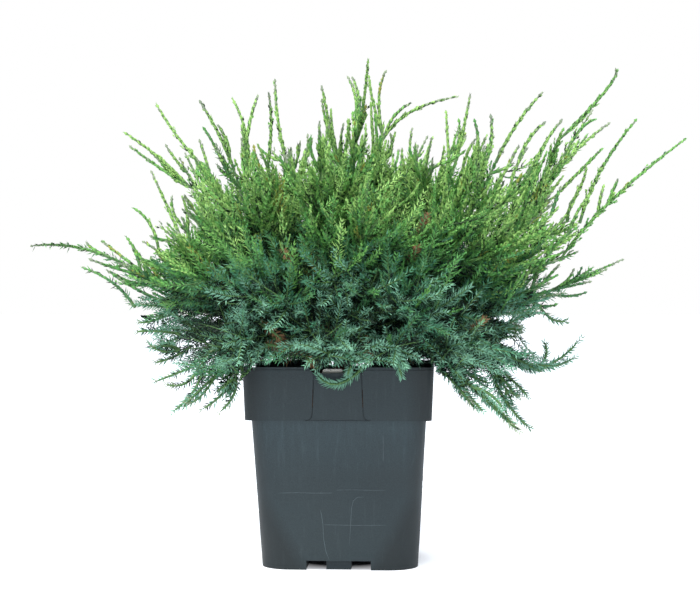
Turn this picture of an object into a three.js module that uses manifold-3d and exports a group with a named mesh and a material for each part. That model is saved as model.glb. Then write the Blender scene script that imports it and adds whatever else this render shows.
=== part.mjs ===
// A sea green juniper in a square nursery pot: a low, wide evergreen shrub whose shoots spray
// up and out from one short trunk, in a dark grey moulded plastic container with a deep band
// round its rim. Millimetres, +Z up. The origin is the centre of the pot's flat underside.
//
// The shrub is built as it grows. A short trunk stands in the potting mix. Boughs leave it in
// turn, the low ones near the soil and the steep ones near its tip. Each bough ends where it
// enters a mass of foliage. A mass is one main shoot with leaders that fork off it, and both
// carry flat sprays at an acute angle. Every mass keeps to its own wedge of the crown.

import * as THREE from "three";
import { mergeVertices } from "three/addons/utils/BufferGeometryUtils.js";
import Module from "manifold-3d";

const wasm = await Module();
wasm.setup();

// Driving sizes of the pot
const RIM_HEIGHT = 245;
const RIM_HALF = 115;
const BAND_FOOT_HEIGHT = 181;
const BAND_FOOT_HALF = 112.4;
const BODY_TOP_HALF = 105.6;
const BODY_FOOT_HALF = 95.4;
const RIM_CORNER = 10;
const BODY_TOP_CORNER = 15;
const BODY_FOOT_CORNER = 36;
const WALL = 2;
const FLOOR = 2;
const CORNER_STEPS = 4;

// The lip dips in the middle of each side, over a panel that lies back from the band's face
const LIP_DIP = { depth: 7, floorHalf: 28, shoulder: 7 };
const PANEL = { recess: 0.8, topHalf: 27.5, footHalf: 30, flare: 9 };

// Drainage channels cross under the pot, two each way, and open in a notch in each side
const CHANNEL = { width: 24, height: 11, ribHalf: 15 };
const NOTCH_SETBACK = 5;
const DRAIN_HOLE_RADIUS = 6;

// Potting mix, and the blank tag that stands in it behind the front lip
const SOIL_HEIGHT = 231;
const GAP = 0.3;
const TAG = { width: 24, thickness: 1.2, foot: 203, top: 242.6, x: -6.5, y: -105 };

// Driving sizes of the shrub
const TRUNK = { footRadius: 12.5, tipRadius: 5.4, tipHeight: 341, lean: 5, flare: 1.45, sides: 12 };
const BOUGH = { baseRadius: 3.7, tipRadius: 2.4, sides: 5, steps: 3 };
const CROWN_CENTRE = new THREE.Vector3(0, 0, 267);
const LEADERS = {
  count: 8, ranks: [0, 2, 1, 3], first: 0.03, last: 0.6, rootRadius: 1.5,
  spreadsDeg: [50, 44, 38, 32, 26, 20], shortest: 0.5, longest: 0.92,
};
const SHOOT = { nodeSpacing: 23, crowding: 1.22, twistDeg: 9, tipRadius: 1.1 };
const SPRAY = {
  angleDeg: 31, angleRangeDeg: 8, tipAngle: 0.72, length: 68, lengthRange: 20, tipLength: 0.2,
  clearance: 4,
};
const WEDGE_MARGIN = 0.8;
const LIMB_CLEARANCE = 1.6;
const POT_CLEARANCE = 3;

// Each mass of foliage: the plan angle of its main shoot from +X towards +Y, the angle at which
// its tip stands over the crown's centre, its reach from there, and how far the shoot bows.
// hub is the distance from the crown's centre at which its bough hands over to it, and seed
// starts the random turns of its twigs.
const MASSES = [
  { name: "right_long", azimuth: -5.5, rise: 31, reach: 500, bow: 0.05, hub: 88, seed: 13 },
  { name: "right_high", azimuth: 15, rise: 44, reach: 517, bow: -0.05, hub: 88, seed: 43 },
  { name: "right_arm", azimuth: -14, rise: 17, reach: 369, bow: 0.03, hub: 92, seed: 30 },
  { name: "right_low", azimuth: 16, rise: 12, reach: 328, bow: 0.05, hub: 104, seed: 3 },
  { name: "right_lower", azimuth: 3, rise: -1, reach: 299, bow: 0.06, hub: 128, seed: 32 },
  { name: "right_drooping", azimuth: -12, rise: -24, reach: 254, bow: 0.2, hub: 134, seed: 13 },
  { name: "right_shoulder", azimuth: -36, rise: 45, reach: 417, bow: 0.05, hub: 84, seed: 52 },
  { name: "top_right", azimuth: 42, rise: 56, reach: 404, bow: 0.02, hub: 84, seed: 33 },
  { name: "top_whip", azimuth: -16, rise: 65, reach: 342, bow: 0.16, hub: 78, seed: 32 },
  { name: "top", azimuth: -30, rise: 85, reach: 359, bow: 0, hub: 78, seed: 49 },
  { name: "top_left", azimuth: 130, rise: 66, reach: 382, bow: 0.02, hub: 84, seed: 43 },
  { name: "left_shoulder", azimuth: -128, rise: 50, reach: 373, bow: 0.03, hub: 78, seed: 56 },
  { name: "left_high", azimuth: 164, rise: 48, reach: 406, bow: 0.04, hub: 88, seed: 43 },
  { name: "left_middle", azimuth: -168, rise: 33, reach: 326, bow: 0.05, hub: 92, seed: 57 },
  { name: "left_long", azimuth: 177, rise: 18, reach: 411, bow: 0.11, hub: 96, seed: 13 },
  { name: "left_low", azimuth: -170, rise: 3, reach: 258, bow: 0.06, hub: 118, seed: 7 },
  { name: "left_drooping", azimuth: -158, rise: -19, reach: 233, bow: 0.16, hub: 136, seed: 46 },
  { name: "front_left_drooping", azimuth: -128, rise: -17, reach: 222, bow: 0.16, hub: 140, seed: 5 },
  { name: "front_right_drooping", azimuth: -46, rise: -17, reach: 244, bow: 0.16, hub: 140, seed: 43 },
  { name: "front_left_low", azimuth: -115, rise: 20, reach: 268, bow: 0.05, hub: 72, seed: 7 },
  { name: "front_right_low", azimuth: -64, rise: 14, reach: 268, bow: 0.05, hub: 72, seed: 28 },
  { name: "front_middle_low", azimuth: -91, rise: -2, reach: 222, bow: 0.08, hub: 92, seed: 28 },
  { name: "front_top", azimuth: -100, rise: 68, reach: 334, bow: 0.02, hub: 72, seed: 19 },
  { name: "front_right_high", azimuth: -80, rise: 38, reach: 322, bow: 0.05, hub: 72, seed: 10 },
  { name: "back_right_low", azimuth: 66, rise: 8, reach: 330, bow: 0.07, hub: 100, seed: 44 },
  { name: "back_left_low", azimuth: 122, rise: 7, reach: 325, bow: 0.07, hub: 100, seed: 43 },
  { name: "back_right_high", azimuth: 79, rise: 35, reach: 366, bow: 0.05, hub: 88, seed: 41 },
  { name: "back_left_high", azimuth: 128, rise: 35, reach: 358, bow: 0.05, hub: 88, seed: 26 },
];

// Closed solids from rings of points, and the joins and cuts between them
function solidOf(vertices, faces) {
  const geometry = new THREE.BufferGeometry();
  geometry.setAttribute("position", new THREE.Float32BufferAttribute(vertices, 3));
  geometry.setIndex(faces);
  return solidOfGeometry(geometry);
}

function solidOfGeometry(geometry) {
  const loose = geometry.index ? geometry.toNonIndexed() : geometry.clone();
  loose.deleteAttribute("normal");
  loose.deleteAttribute("uv");
  const merged = mergeVertices(loose, 1e-4);
  return new wasm.Manifold(new wasm.Mesh({
    numProp: 3,
    vertProperties: merged.attributes.position.array,
    triVerts: new Uint32Array(merged.index.array),
  }));
}

function geometryOf(solid) {
  const mesh = solid.getMesh();
  const geometry = new THREE.BufferGeometry();
  geometry.setAttribute("position", new THREE.BufferAttribute(mesh.vertProperties, 3));
  geometry.setIndex(new THREE.BufferAttribute(mesh.triVerts, 1));
  geometry.computeVertexNormals();
  return geometry;
}

function boxSolid(low, high) {
  const size = high.map((value, axis) => value - low[axis]);
  const box = new THREE.BoxGeometry(...size);
  box.translate(...low.map((value, axis) => value + size[axis] / 2));
  return solidOfGeometry(box);
}

// Rings run from the foot up, each one counter-clockwise seen from above
function loft(rings) {
  const count = rings[0].length;
  const faces = [];
  for (let k = 0; k + 1 < rings.length; k++) {
    for (let i = 0; i < count; i++) {
      const next = (i + 1) % count;
      const a = k * count + i;
      const b = k * count + next;
      faces.push(a, b, b + count, a, b + count, a + count);
    }
  }
  const last = (rings.length - 1) * count;
  for (let i = 1; i + 1 < count; i++) {
    faces.push(0, i + 1, i, last, last + i, last + i + 1);
  }
  return solidOf(rings.flat().flatMap((point) => point.toArray()), faces);
}

function largestBody(solid) {
  const bodies = solid.decompose();
  return bodies.reduce((best, body) => (body.volume() > best.volume() ? body : best));
}

function seeded(seed) {
  let state = seed >>> 0;
  return () => {
    state = (state + 0x6d2b79f5) >>> 0;
    let mixed = Math.imul(state ^ (state >>> 15), state | 1);
    mixed ^= mixed + Math.imul(mixed ^ (mixed >>> 7), mixed | 61);
    return ((mixed ^ (mixed >>> 14)) >>> 0) / 4294967296;
  };
}

// The pot: a square that turns rounder towards its foot
function squareRing(half, corner, height) {
  const ring = [];
  for (let side = 0; side < 4; side++) {
    const middle = (side * Math.PI) / 2 + Math.PI / 4;
    const centreX = Math.SQRT2 * (half - corner) * Math.cos(middle);
    const centreY = Math.SQRT2 * (half - corner) * Math.sin(middle);
    for (let step = 0; step <= CORNER_STEPS; step++) {
      const angle = middle - Math.PI / 4 + ((Math.PI / 2) * step) / CORNER_STEPS;
      ring.push(new THREE.Vector3(
        centreX + corner * Math.cos(angle), centreY + corner * Math.sin(angle), height));
    }
  }
  return ring;
}

function mix(low, high, share) {
  return low + (high - low) * share;
}

// Half width and corner radius of the body's outer face at a height under the band
function bodyAt(height) {
  const share = height / BAND_FOOT_HEIGHT;
  return {
    half: mix(BODY_FOOT_HALF, BODY_TOP_HALF, share),
    corner: mix(BODY_FOOT_CORNER, BODY_TOP_CORNER, share),
  };
}

function bandAt(height) {
  const share = (height - BAND_FOOT_HEIGHT) / (RIM_HEIGHT - BAND_FOOT_HEIGHT);
  return { half: mix(BAND_FOOT_HALF, RIM_HALF, share), corner: RIM_CORNER };
}

// The pot's face taken in by an inset, from a foot height up to a top height
function potForm(inset, foot, top, ledge) {
  const ring = (size, height) => squareRing(size.half - inset, Math.max(size.corner - inset, 2), height);
  const stepHeight = BAND_FOOT_HEIGHT + ledge;
  return loft([
    ring(bodyAt(foot), foot),
    ring(bodyAt(BAND_FOOT_HEIGHT / 2), BAND_FOOT_HEIGHT / 2),
    ring(bodyAt(stepHeight), stepHeight),
    ring(bandAt(stepHeight), stepHeight + 0.01),
    ring(bandAt(top), top),
  ]);
}

// Boxes under the pot floor, grown by a skin: channels both ways and a notch in each side
function channelSpace(skin) {
  const reach = RIM_HALF + 20;
  const near = CHANNEL.ribHalf - skin;
  const far = CHANNEL.ribHalf + CHANNEL.width + skin;
  const foot = -10;
  const top = CHANNEL.height + skin;
  const spaces = [];
  for (const side of [-1, 1]) {
    const low = Math.min(side * near, side * far);
    const high = Math.max(side * near, side * far);
    spaces.push(boxSolid([low, -reach, foot], [high, reach, top]));
    spaces.push(boxSolid([-reach, low, foot], [reach, high, top]));
    const notchStart = BODY_FOOT_HALF - NOTCH_SETBACK - skin;
    const notchLow = Math.min(side * notchStart, side * reach);
    const notchHigh = Math.max(side * notchStart, side * reach);
    spaces.push(boxSolid([-far, notchLow, foot], [far, notchHigh, top]));
    spaces.push(boxSolid([notchLow, -far, foot], [notchHigh, far, top]));
  }
  return wasm.Manifold.union(spaces);
}

function lipDip() {
  const { depth, floorHalf, shoulder } = LIP_DIP;
  const outline = new THREE.Shape([
    new THREE.Vector2(-floorHalf, RIM_HEIGHT - depth),
    new THREE.Vector2(floorHalf, RIM_HEIGHT - depth),
    new THREE.Vector2(floorHalf + shoulder, RIM_HEIGHT - 1),
    new THREE.Vector2(floorHalf + shoulder + 2, RIM_HEIGHT + 5),
    new THREE.Vector2(-floorHalf - shoulder - 2, RIM_HEIGHT + 5),
    new THREE.Vector2(-floorHalf - shoulder, RIM_HEIGHT - 1),
  ]);
  return uprightPrism(outline, 2 * WALL + 8, RIM_HALF - 2 * WALL - 4);
}

// The middle panel's outline widens at its foot, where the side panels' corners are rounded
function panelCut() {
  const { topHalf, footHalf, flare, recess } = PANEL;
  const outline = new THREE.Shape();
  outline.moveTo(-topHalf, RIM_HEIGHT + 5);
  outline.lineTo(-footHalf, BAND_FOOT_HEIGHT + flare);
  outline.quadraticCurveTo(-footHalf, BAND_FOOT_HEIGHT, -footHalf - flare, BAND_FOOT_HEIGHT);
  outline.lineTo(-footHalf - flare, BAND_FOOT_HEIGHT - 4);
  outline.lineTo(footHalf + flare, BAND_FOOT_HEIGHT - 4);
  outline.lineTo(footHalf + flare, BAND_FOOT_HEIGHT);
  outline.quadraticCurveTo(footHalf, BAND_FOOT_HEIGHT, footHalf, BAND_FOOT_HEIGHT + flare);
  outline.lineTo(topHalf, RIM_HEIGHT + 5);
  const cut = uprightPrism(outline, 12, 0);
  const lean = Math.atan2(RIM_HALF - BAND_FOOT_HALF, RIM_HEIGHT - BAND_FOOT_HEIGHT);
  const turned = cut.translate([0, 0, -BAND_FOOT_HEIGHT]).rotate([(lean * 180) / Math.PI, 0, 0]);
  return turned.translate([0, -(BAND_FOOT_HALF - recess), BAND_FOOT_HEIGHT]);
}

// An outline in X and Z, extruded towards -Y from a start distance
function uprightPrism(outline, depth, start) {
  const geometry = new THREE.ExtrudeGeometry(outline, {
    depth, bevelEnabled: false, curveSegments: 4,
  });
  geometry.rotateX(Math.PI / 2);
  geometry.translate(0, -start, 0);
  return solidOfGeometry(geometry);
}

function aroundFour(solid) {
  return wasm.Manifold.union([0, 90, 180, 270].map((turn) => solid.rotate([0, 0, turn])));
}

function potCavity(inset, top, channelSkin) {
  return potForm(inset, inset + FLOOR - WALL, top, FLOOR).subtract(channelSpace(channelSkin));
}

function makePot() {
  const outside = potForm(0, 0, RIM_HEIGHT, 0);
  const hollow = potCavity(WALL, RIM_HEIGHT + 6, WALL);
  const hole = solidOfGeometry(
    new THREE.CylinderGeometry(DRAIN_HOLE_RADIUS, DRAIN_HOLE_RADIUS, 20, 10).rotateX(Math.PI / 2));
  const centre = CHANNEL.ribHalf + CHANNEL.width / 2;
  const holes = [[1, 1], [-1, 1], [-1, -1], [1, -1]].map(
    ([x, y]) => hole.translate([x * centre, y * centre, CHANNEL.height]));
  return outside
    .subtract(hollow)
    .subtract(channelSpace(0))
    .subtract(wasm.Manifold.union(holes))
    .subtract(aroundFour(lipDip()))
    .subtract(aroundFour(panelCut()));
}

// The tag stands on its own foot, and is put in its place in the mix with the other pieces
function makeTag() {
  const { width, thickness, foot, top } = TAG;
  return boxSolid([-width / 2, -thickness / 2, 0], [width / 2, thickness / 2, top - foot]);
}

function makeSoil() {
  const { width, thickness, foot, top, x, y } = TAG;
  const slot = boxSolid(
    [x - width / 2 - GAP, y - thickness / 2 - GAP, foot - GAP],
    [x + width / 2 + GAP, y + thickness / 2 + GAP, top]);
  return potCavity(WALL + GAP, SOIL_HEIGHT, WALL + GAP).subtract(slot);
}

// The trunk: five buttresses at its flat foot, fading within a few centimetres
function trunkAxis(height) {
  const share = (height - SOIL_HEIGHT) / (TRUNK.tipHeight - SOIL_HEIGHT);
  return new THREE.Vector3(TRUNK.lean * share * share, -TRUNK.lean * 0.6 * share, height);
}

function trunkSolid(skin) {
  const rings = [];
  for (const share of [0, 0.05, 0.12, 0.25, 0.5, 0.75, 1]) {
    const height = mix(SOIL_HEIGHT + GAP, TRUNK.tipHeight, share);
    const flare = (TRUNK.flare - 1) * Math.exp(-share * 14);
    const radius = mix(TRUNK.footRadius, TRUNK.tipRadius, share) * (1 + flare);
    const lift = (share === 1 ? skin : 0) - (share === 0 ? skin : 0);
    const centre = trunkAxis(height);
    const ring = [];
    for (let i = 0; i < TRUNK.sides; i++) {
      const angle = (2 * Math.PI * i) / TRUNK.sides;
      const lobed = (radius + skin) * (1 + 0.5 * flare * Math.cos(5 * angle));
      ring.push(new THREE.Vector3(
        centre.x + lobed * Math.cos(angle), centre.y + lobed * Math.sin(angle), height + lift));
    }
    rings.push(ring);
  }
  return loft(rings);
}

// Directions and curves of the limbs
function direction(azimuthDeg, riseDeg) {
  const azimuth = THREE.MathUtils.degToRad(azimuthDeg);
  const rise = THREE.MathUtils.degToRad(riseDeg);
  return new THREE.Vector3(
    Math.cos(rise) * Math.cos(azimuth), Math.cos(rise) * Math.sin(azimuth), Math.sin(rise));
}

function outFromCentre(azimuthDeg, riseDeg, distance) {
  return direction(azimuthDeg, riseDeg).multiplyScalar(distance).add(CROWN_CENTRE);
}

// A low mass starts level over the rim and droops outside it, so its hub rises above its tip
function hubRise(mass) {
  return Math.max(mass.rise, mix(mass.rise, 2, 0.9));
}

// A main shoot runs on from its bough, then bows over towards its tip
function stemCurve(start, along, end, bow) {
  const span = start.distanceTo(end);
  const first = start.clone().addScaledVector(along, span / 3);
  const second = start.clone().lerp(end, 2 / 3);
  second.z += 1.5 * bow * span;
  return new THREE.CubicBezierCurve3(start, first, second, end);
}

// A tapered limb along a curve, with a flat start and end
function limb(curve, radiusAt, sides, steps) {
  const frames = curve.computeFrenetFrames(steps, false);
  const rings = [];
  for (let k = 0; k <= steps; k++) {
    const centre = curve.getPointAt(k / steps);
    const ring = [];
    for (let i = 0; i < sides; i++) {
      const angle = (2 * Math.PI * i) / sides;
      ring.push(centre.clone()
        .addScaledVector(frames.normals[k], radiusAt(k / steps) * Math.cos(angle))
        .addScaledVector(frames.binormals[k], radiusAt(k / steps) * Math.sin(angle)));
    }
    rings.push(ring);
  }
  return loft(rings);
}

// Boughs leave the trunk in order of their rise, evenly up its length
function boughCurve(mass, order) {
  const lowest = SOIL_HEIGHT + 16;
  const highest = TRUNK.tipHeight - 12;
  const height = mix(lowest, highest, order / (MASSES.length - 2));
  const start = trunkAxis(height);
  const end = outFromCentre(mass.azimuth, hubRise(mass), mass.hub);
  const out = direction(mass.azimuth, Math.max(mass.rise, 8));
  const middle = start.clone().addScaledVector(out, start.distanceTo(end) * 0.5);
  return new THREE.QuadraticBezierCurve3(start, middle, end);
}

function boughRadius(share) {
  return mix(BOUGH.baseRadius, BOUGH.tipRadius, share);
}

// The wedge that a mass keeps to: nearer to its own direction than to any other mass's
function wedgeTest(mass) {
  const own = direction(mass.azimuth, mass.rise);
  const others = MASSES.filter((other) => other !== mass)
    .map((other) => own.clone().sub(direction(other.azimuth, other.rise)).normalize());
  return (point) => {
    const offset = point.clone().sub(CROWN_CENTRE);
    return others.every((normal) => offset.dot(normal) > WEDGE_MARGIN);
  };
}

function outsidePot(point) {
  const half = RIM_HALF + POT_CLEARANCE;
  const over = point.z > RIM_HEIGHT + POT_CLEARANCE;
  return over || Math.abs(point.x) > half || Math.abs(point.y) > half;
}

// Points along every bough, each with the radius that a twig must stay clear of
function limbPoints(boughs) {
  const points = [];
  for (const { curve } of boughs.values()) {
    for (let k = 0; k <= 40; k++) {
      points.push({ at: curve.getPointAt(k / 40), keep: boughRadius(k / 40) + LIMB_CLEARANCE });
    }
  }
  for (let k = 0; k <= 20; k++) {
    const share = k / 20;
    const at = trunkAxis(mix(SOIL_HEIGHT, TRUNK.tipHeight, share));
    points.push({ at, keep: mix(TRUNK.footRadius, TRUNK.tipRadius, share) + 1 });
  }
  return points;
}

function clearOf(limbs) {
  return (point) => limbs.every(({ at, keep }) => at.distanceToSquared(point) > keep * keep);
}

// A leader forks off at an angle and bends back towards the line of its parent, and up
function leaderCurve({ at, along }, aside, spreadDeg, length) {
  const angle = THREE.MathUtils.degToRad(spreadDeg);
  const out = along.clone().multiplyScalar(Math.cos(angle)).addScaledVector(aside, Math.sin(angle));
  const middle = at.clone().addScaledVector(out, length * 0.5);
  const end = at.clone().addScaledVector(out, length * 0.55).addScaledVector(along, length * 0.43);
  end.z += length * 0.05;
  return new THREE.QuadraticBezierCurve3(at, middle, end);
}

// The nodes of a shoot: where each one stands, the way the shoot runs there, and four sides
function shootNodes(curve, rootRadius) {
  const steps = Math.max(3, Math.round(curve.getLength() / SHOOT.nodeSpacing));
  const frames = curve.computeFrenetFrames(steps, false);
  const nodes = [];
  for (let k = 0; k < steps; k++) {
    const share = 1 - (1 - k / steps) ** SHOOT.crowding;
    const sides = [0, 1, 2, 3].map((i) => {
      const angle = (i * Math.PI) / 2 + THREE.MathUtils.degToRad(SHOOT.twistDeg) * k;
      return frames.normals[k].clone().multiplyScalar(Math.cos(angle))
        .addScaledVector(frames.binormals[k], Math.sin(angle));
    });
    const radius = mix(rootRadius, SHOOT.tipRadius, share);
    nodes.push({ share, sides, radius, at: curve.getPointAt(share), along: frames.tangents[k] });
  }
  return { nodes, end: curve.getPointAt(1) };
}

// The spine of a shoot as short lines, for the sprays of its neighbours to keep away from
function spineLines({ nodes, end }) {
  const points = [...nodes.map((node) => node.at), end];
  return points.slice(1).map((point, k) => new THREE.Line3(points[k], point));
}

// The tip of a spray: as long as it can be without leaving the wedge or meeting a neighbour
function sprayTip(root, along, side, share, fits, random) {
  const length = mix(1.1, SPRAY.tipLength, share)
    * (SPRAY.length + SPRAY.lengthRange * (random() - 0.5));
  const angle = mix(1, SPRAY.tipAngle, share) * THREE.MathUtils.degToRad(
    SPRAY.angleDeg + SPRAY.angleRangeDeg * (2 * random() - 1));
  const out = along.clone().multiplyScalar(Math.cos(angle)).addScaledVector(side, Math.sin(angle));
  for (const part of [1, 0.8, 0.6, 0.4]) {
    const tip = root.clone().addScaledVector(out, length * part);
    const foot = root.clone().addScaledVector(along, -SHOOT.nodeSpacing);
    const axil = root.clone().addScaledVector(along, SHOOT.nodeSpacing);
    const points = [0.35, 0.6, 0.8, 1].map((step) => root.clone().lerp(tip, step));
    points.push(foot.lerp(tip, 0.5), axil.lerp(tip, 0.5));
    if (fits(points)) return tip;
  }
  return null;
}

// A shoot is a slim four-sided twig whose nodes bear sprays in opposite pairs. Each pair stands
// square to the next, and every spray is drawn out to a point along the shoot. Only the twig's
// own edges join one node to the next, so a spray never webs to its neighbour.
function shootSolid({ nodes, end }, bareShare, fits, random) {
  const vertices = [];
  const sprays = [];
  nodes.forEach(({ share, sides, radius, at, along }, k) => {
    sides.forEach((side, i) => {
      const root = at.clone().addScaledVector(side, radius);
      const bears = i % 2 === k % 2 && share > bareShare && k < nodes.length - 1;
      const tip = bears && sprayTip(root, along, side, share, fits, random);
      if (tip) sprays.push(new THREE.Line3(root, tip));
      vertices.push(tip || root);
    });
  });
  vertices.push(end);
  const faces = [0, 2, 1, 0, 3, 2];
  for (let k = 0; k < nodes.length; k++) {
    for (let i = 0; i < 4; i++) {
      const a = 4 * k + i;
      const b = 4 * k + ((i + 1) % 4);
      if (k === nodes.length - 1) faces.push(a, b, vertices.length - 1);
      else if (i % 2 === k % 2) faces.push(a, b, a + 4, b, b + 4, a + 4);
      else faces.push(a, b, b + 4, a, b + 4, a + 4);
    }
  }
  return { solid: solidOf(vertices.flatMap((point) => point.toArray()), faces), sprays };
}

function apartFrom(lines, gap) {
  const nearest = new THREE.Vector3();
  return (point) => lines.every(
    (line) => line.closestPointToPoint(point, true, nearest).distanceTo(point) > gap);
}

// The leaders of a mass fork off its main shoot all round, each longer the lower it starts.
// One leaves between two ranks of sprays, as wide of the main shoot as the wedge lets it.
function leaderCurves({ nodes }, stemLength, fits, random) {
  const curves = [];
  for (let k = 0; k < LEADERS.count; k++) {
    const share = mix(LEADERS.first, LEADERS.last, k / (LEADERS.count - 1));
    const node = nodes[Math.max(1, Math.round(share * nodes.length))];
    const rank = LEADERS.ranks[k % LEADERS.ranks.length];
    const aside = node.sides[rank].clone().add(node.sides[(rank + 1) % 4]).normalize();
    const length = stemLength * (1 - node.share) * mix(LEADERS.shortest, LEADERS.longest, random());
    const curve = LEADERS.spreadsDeg
      .map((spread) => leaderCurve(node, aside, spread, length))
      .find((tried) => fits(tried.getPoints(8).slice(1)));
    if (curve) curves.push(curve);
  }
  return curves;
}

// A mass: its main shoot, and the leaders that fork off it
function growMass(mass, limbs) {
  const random = seeded(mass.seed);
  const inWedge = wedgeTest(mass);
  const offLimbs = clearOf(limbs);
  const inSpace = (point) => inWedge(point) && outsidePot(point) && offLimbs(point);
  const tip = outFromCentre(mass.azimuth, mass.rise, mass.reach);
  const stem = stemCurve(mass.stemStart, mass.stemAlong, tip, mass.bow);
  const shoots = [shootNodes(stem, BOUGH.tipRadius)];
  const leaders = leaderCurves(
    shoots[0], stem.getLength(), (points) => points.every(inSpace), random);
  leaders.forEach((curve) => shoots.push(shootNodes(curve, LEADERS.rootRadius)));
  const grown = [];
  const taken = [];
  shoots.forEach((shoot, own) => {
    const spines = shoots.filter((_, other) => other !== own).flatMap(spineLines);
    const apart = apartFrom([...spines, ...taken], SPRAY.clearance);
    const fits = (points) => points.every((point) => inSpace(point) && apart(point));
    const { solid, sprays } = shootSolid(shoot, 0.1, fits, random);
    grown.push(solid);
    taken.push(...sprays);
  });
  return largestBody(wasm.Manifold.union(grown).asOriginal().simplify(0.05));
}

// The model: the container and the shrub, each piece with its own colour and finish
function material(color, roughness) {
  return new THREE.MeshStandardMaterial({ color, roughness, metalness: 0 });
}

// Low masses are sea green all through, and the higher ones grow fresher in colour
function foliageMaterial(rise) {
  const seaGreen = new THREE.Color("#3f6b57");
  const freshGreen = new THREE.Color("#66933f");
  return material(seaGreen.lerp(freshGreen, THREE.MathUtils.smoothstep(rise, -10, 50)), 0.7);
}

function piece(name, solid, finish) {
  const mesh = new THREE.Mesh(geometryOf(solid), finish);
  mesh.name = name;
  return mesh;
}

const container = new THREE.Group();
container.add(piece("pot", makePot(), material("#464f53", 0.55)));
container.add(piece("potting_mix", makeSoil(), material("#3a2a20", 1)));
const tag = piece("tag", makeTag(), material("#e9e6e0", 0.5));
tag.position.set(TAG.x, TAG.y, TAG.foot);
container.add(tag);

// Every mass but the topmost has its bough. The topmost one stands on the trunk's tip.
const byRise = [...MASSES].sort((a, b) => a.rise - b.rise);
const boughs = new Map();
for (const mass of byRise.slice(0, -1)) {
  boughs.set(mass, { curve: boughCurve(mass, byRise.indexOf(mass)) });
}

const shrub = new THREE.Group();
shrub.add(piece("trunk", trunkSolid(0), material("#6e4a35", 0.9)));
const trunkSkin = trunkSolid(GAP);
for (const mass of MASSES) {
  if (!boughs.has(mass)) {
    mass.stemAlong = new THREE.Vector3(0, 0, 1);
    mass.stemStart = trunkAxis(TRUNK.tipHeight).addScaledVector(mass.stemAlong, GAP);
    continue;
  }
  const { curve } = boughs.get(mass);
  const solid = limb(curve, boughRadius, BOUGH.sides, BOUGH.steps).subtract(trunkSkin);
  shrub.add(piece("bough_" + mass.name, largestBody(solid), material("#7a5238", 0.9)));
  mass.stemAlong = curve.getTangentAt(1);
  mass.stemStart = curve.getPointAt(1).addScaledVector(mass.stemAlong, GAP);
}

const limbs = limbPoints(boughs);
for (const mass of MASSES) {
  shrub.add(piece("foliage_" + mass.name, growMass(mass, limbs), foliageMaterial(mass.rise)));
}

const plant = new THREE.Group();
plant.add(container, shrub);

export default plant;
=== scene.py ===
# %% [markdown]
# # A sea green juniper in its nursery pot
#
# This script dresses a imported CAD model. The CAD gives the true sizes: a square moulded pot,
# the potting mix in it, a blank tag, a short trunk, its boughs and 28 masses of foliage. Here
# each of them is made again with the detail that the eye expects: bark with its fibres, twigs
# down to the last branchlet, and scale leaves and needles of two triangles each.

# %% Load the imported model
import math

import bmesh
import bpy
import numpy as np
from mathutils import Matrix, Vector, noise


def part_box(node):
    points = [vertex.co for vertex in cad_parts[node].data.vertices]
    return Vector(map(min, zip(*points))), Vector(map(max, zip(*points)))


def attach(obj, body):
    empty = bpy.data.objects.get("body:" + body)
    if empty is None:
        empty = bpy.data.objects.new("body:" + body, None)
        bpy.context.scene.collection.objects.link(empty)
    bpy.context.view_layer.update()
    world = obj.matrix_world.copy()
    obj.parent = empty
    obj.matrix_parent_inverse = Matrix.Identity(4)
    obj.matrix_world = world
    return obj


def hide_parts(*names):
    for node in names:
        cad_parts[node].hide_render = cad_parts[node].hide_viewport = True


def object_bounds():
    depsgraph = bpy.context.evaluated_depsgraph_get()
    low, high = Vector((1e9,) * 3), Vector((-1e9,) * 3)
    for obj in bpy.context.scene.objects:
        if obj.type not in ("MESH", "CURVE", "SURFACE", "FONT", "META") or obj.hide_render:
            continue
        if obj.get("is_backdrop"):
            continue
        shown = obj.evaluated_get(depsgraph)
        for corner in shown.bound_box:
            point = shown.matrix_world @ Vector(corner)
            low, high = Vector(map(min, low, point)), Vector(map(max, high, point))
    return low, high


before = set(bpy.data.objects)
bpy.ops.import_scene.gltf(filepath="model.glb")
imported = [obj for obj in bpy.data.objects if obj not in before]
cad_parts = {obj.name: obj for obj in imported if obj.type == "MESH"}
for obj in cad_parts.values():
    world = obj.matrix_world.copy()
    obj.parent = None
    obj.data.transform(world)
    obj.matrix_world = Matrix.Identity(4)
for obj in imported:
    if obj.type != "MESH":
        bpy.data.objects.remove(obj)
cad_low, cad_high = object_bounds()
print("CAD box, m:", [round(v, 3) for v in (*cad_low, *cad_high)])

# %% [markdown]
# Blender works in metres, and all sizes below are in millimetres, so MM turns one into the other.
# There are two makers of meshes. One takes lists of faces, for the few large forms. The other
# takes whole arrays, because a loop over a million leaves would take an hour.

# %% Meshes from lists and from arrays, and blends of values
MM = 0.001


def place_in_scene(name, data):
    placed = bpy.data.objects.new(name, data)
    bpy.context.scene.collection.objects.link(placed)
    return placed


def show(mesh, finishes):
    """Puts a mesh in the scene, gives it its finishes and lets it ride on the plant's body."""
    piece = place_in_scene(mesh.name, mesh)
    for finish in finishes:
        mesh.materials.append(finish)
    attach(piece, "root")
    return piece


def mesh_of(name, vertices, faces, smooth=True):
    """A mesh from points in millimetres and a list of faces of any size."""
    mesh = bpy.data.meshes.new(name)
    mesh.from_pydata((np.asarray(vertices, float) * MM).tolist(), [], faces)
    mesh.update()
    mesh.polygons.foreach_set("use_smooth", [smooth] * len(mesh.polygons))
    return mesh


def facing_out(mesh):
    """Turns every face of a closed mesh outwards, as the Boolean cuts need."""
    work = bmesh.new()
    work.from_mesh(mesh)
    bmesh.ops.recalc_face_normals(work, faces=work.faces)
    work.to_mesh(mesh)
    work.free()
    return mesh


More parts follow.
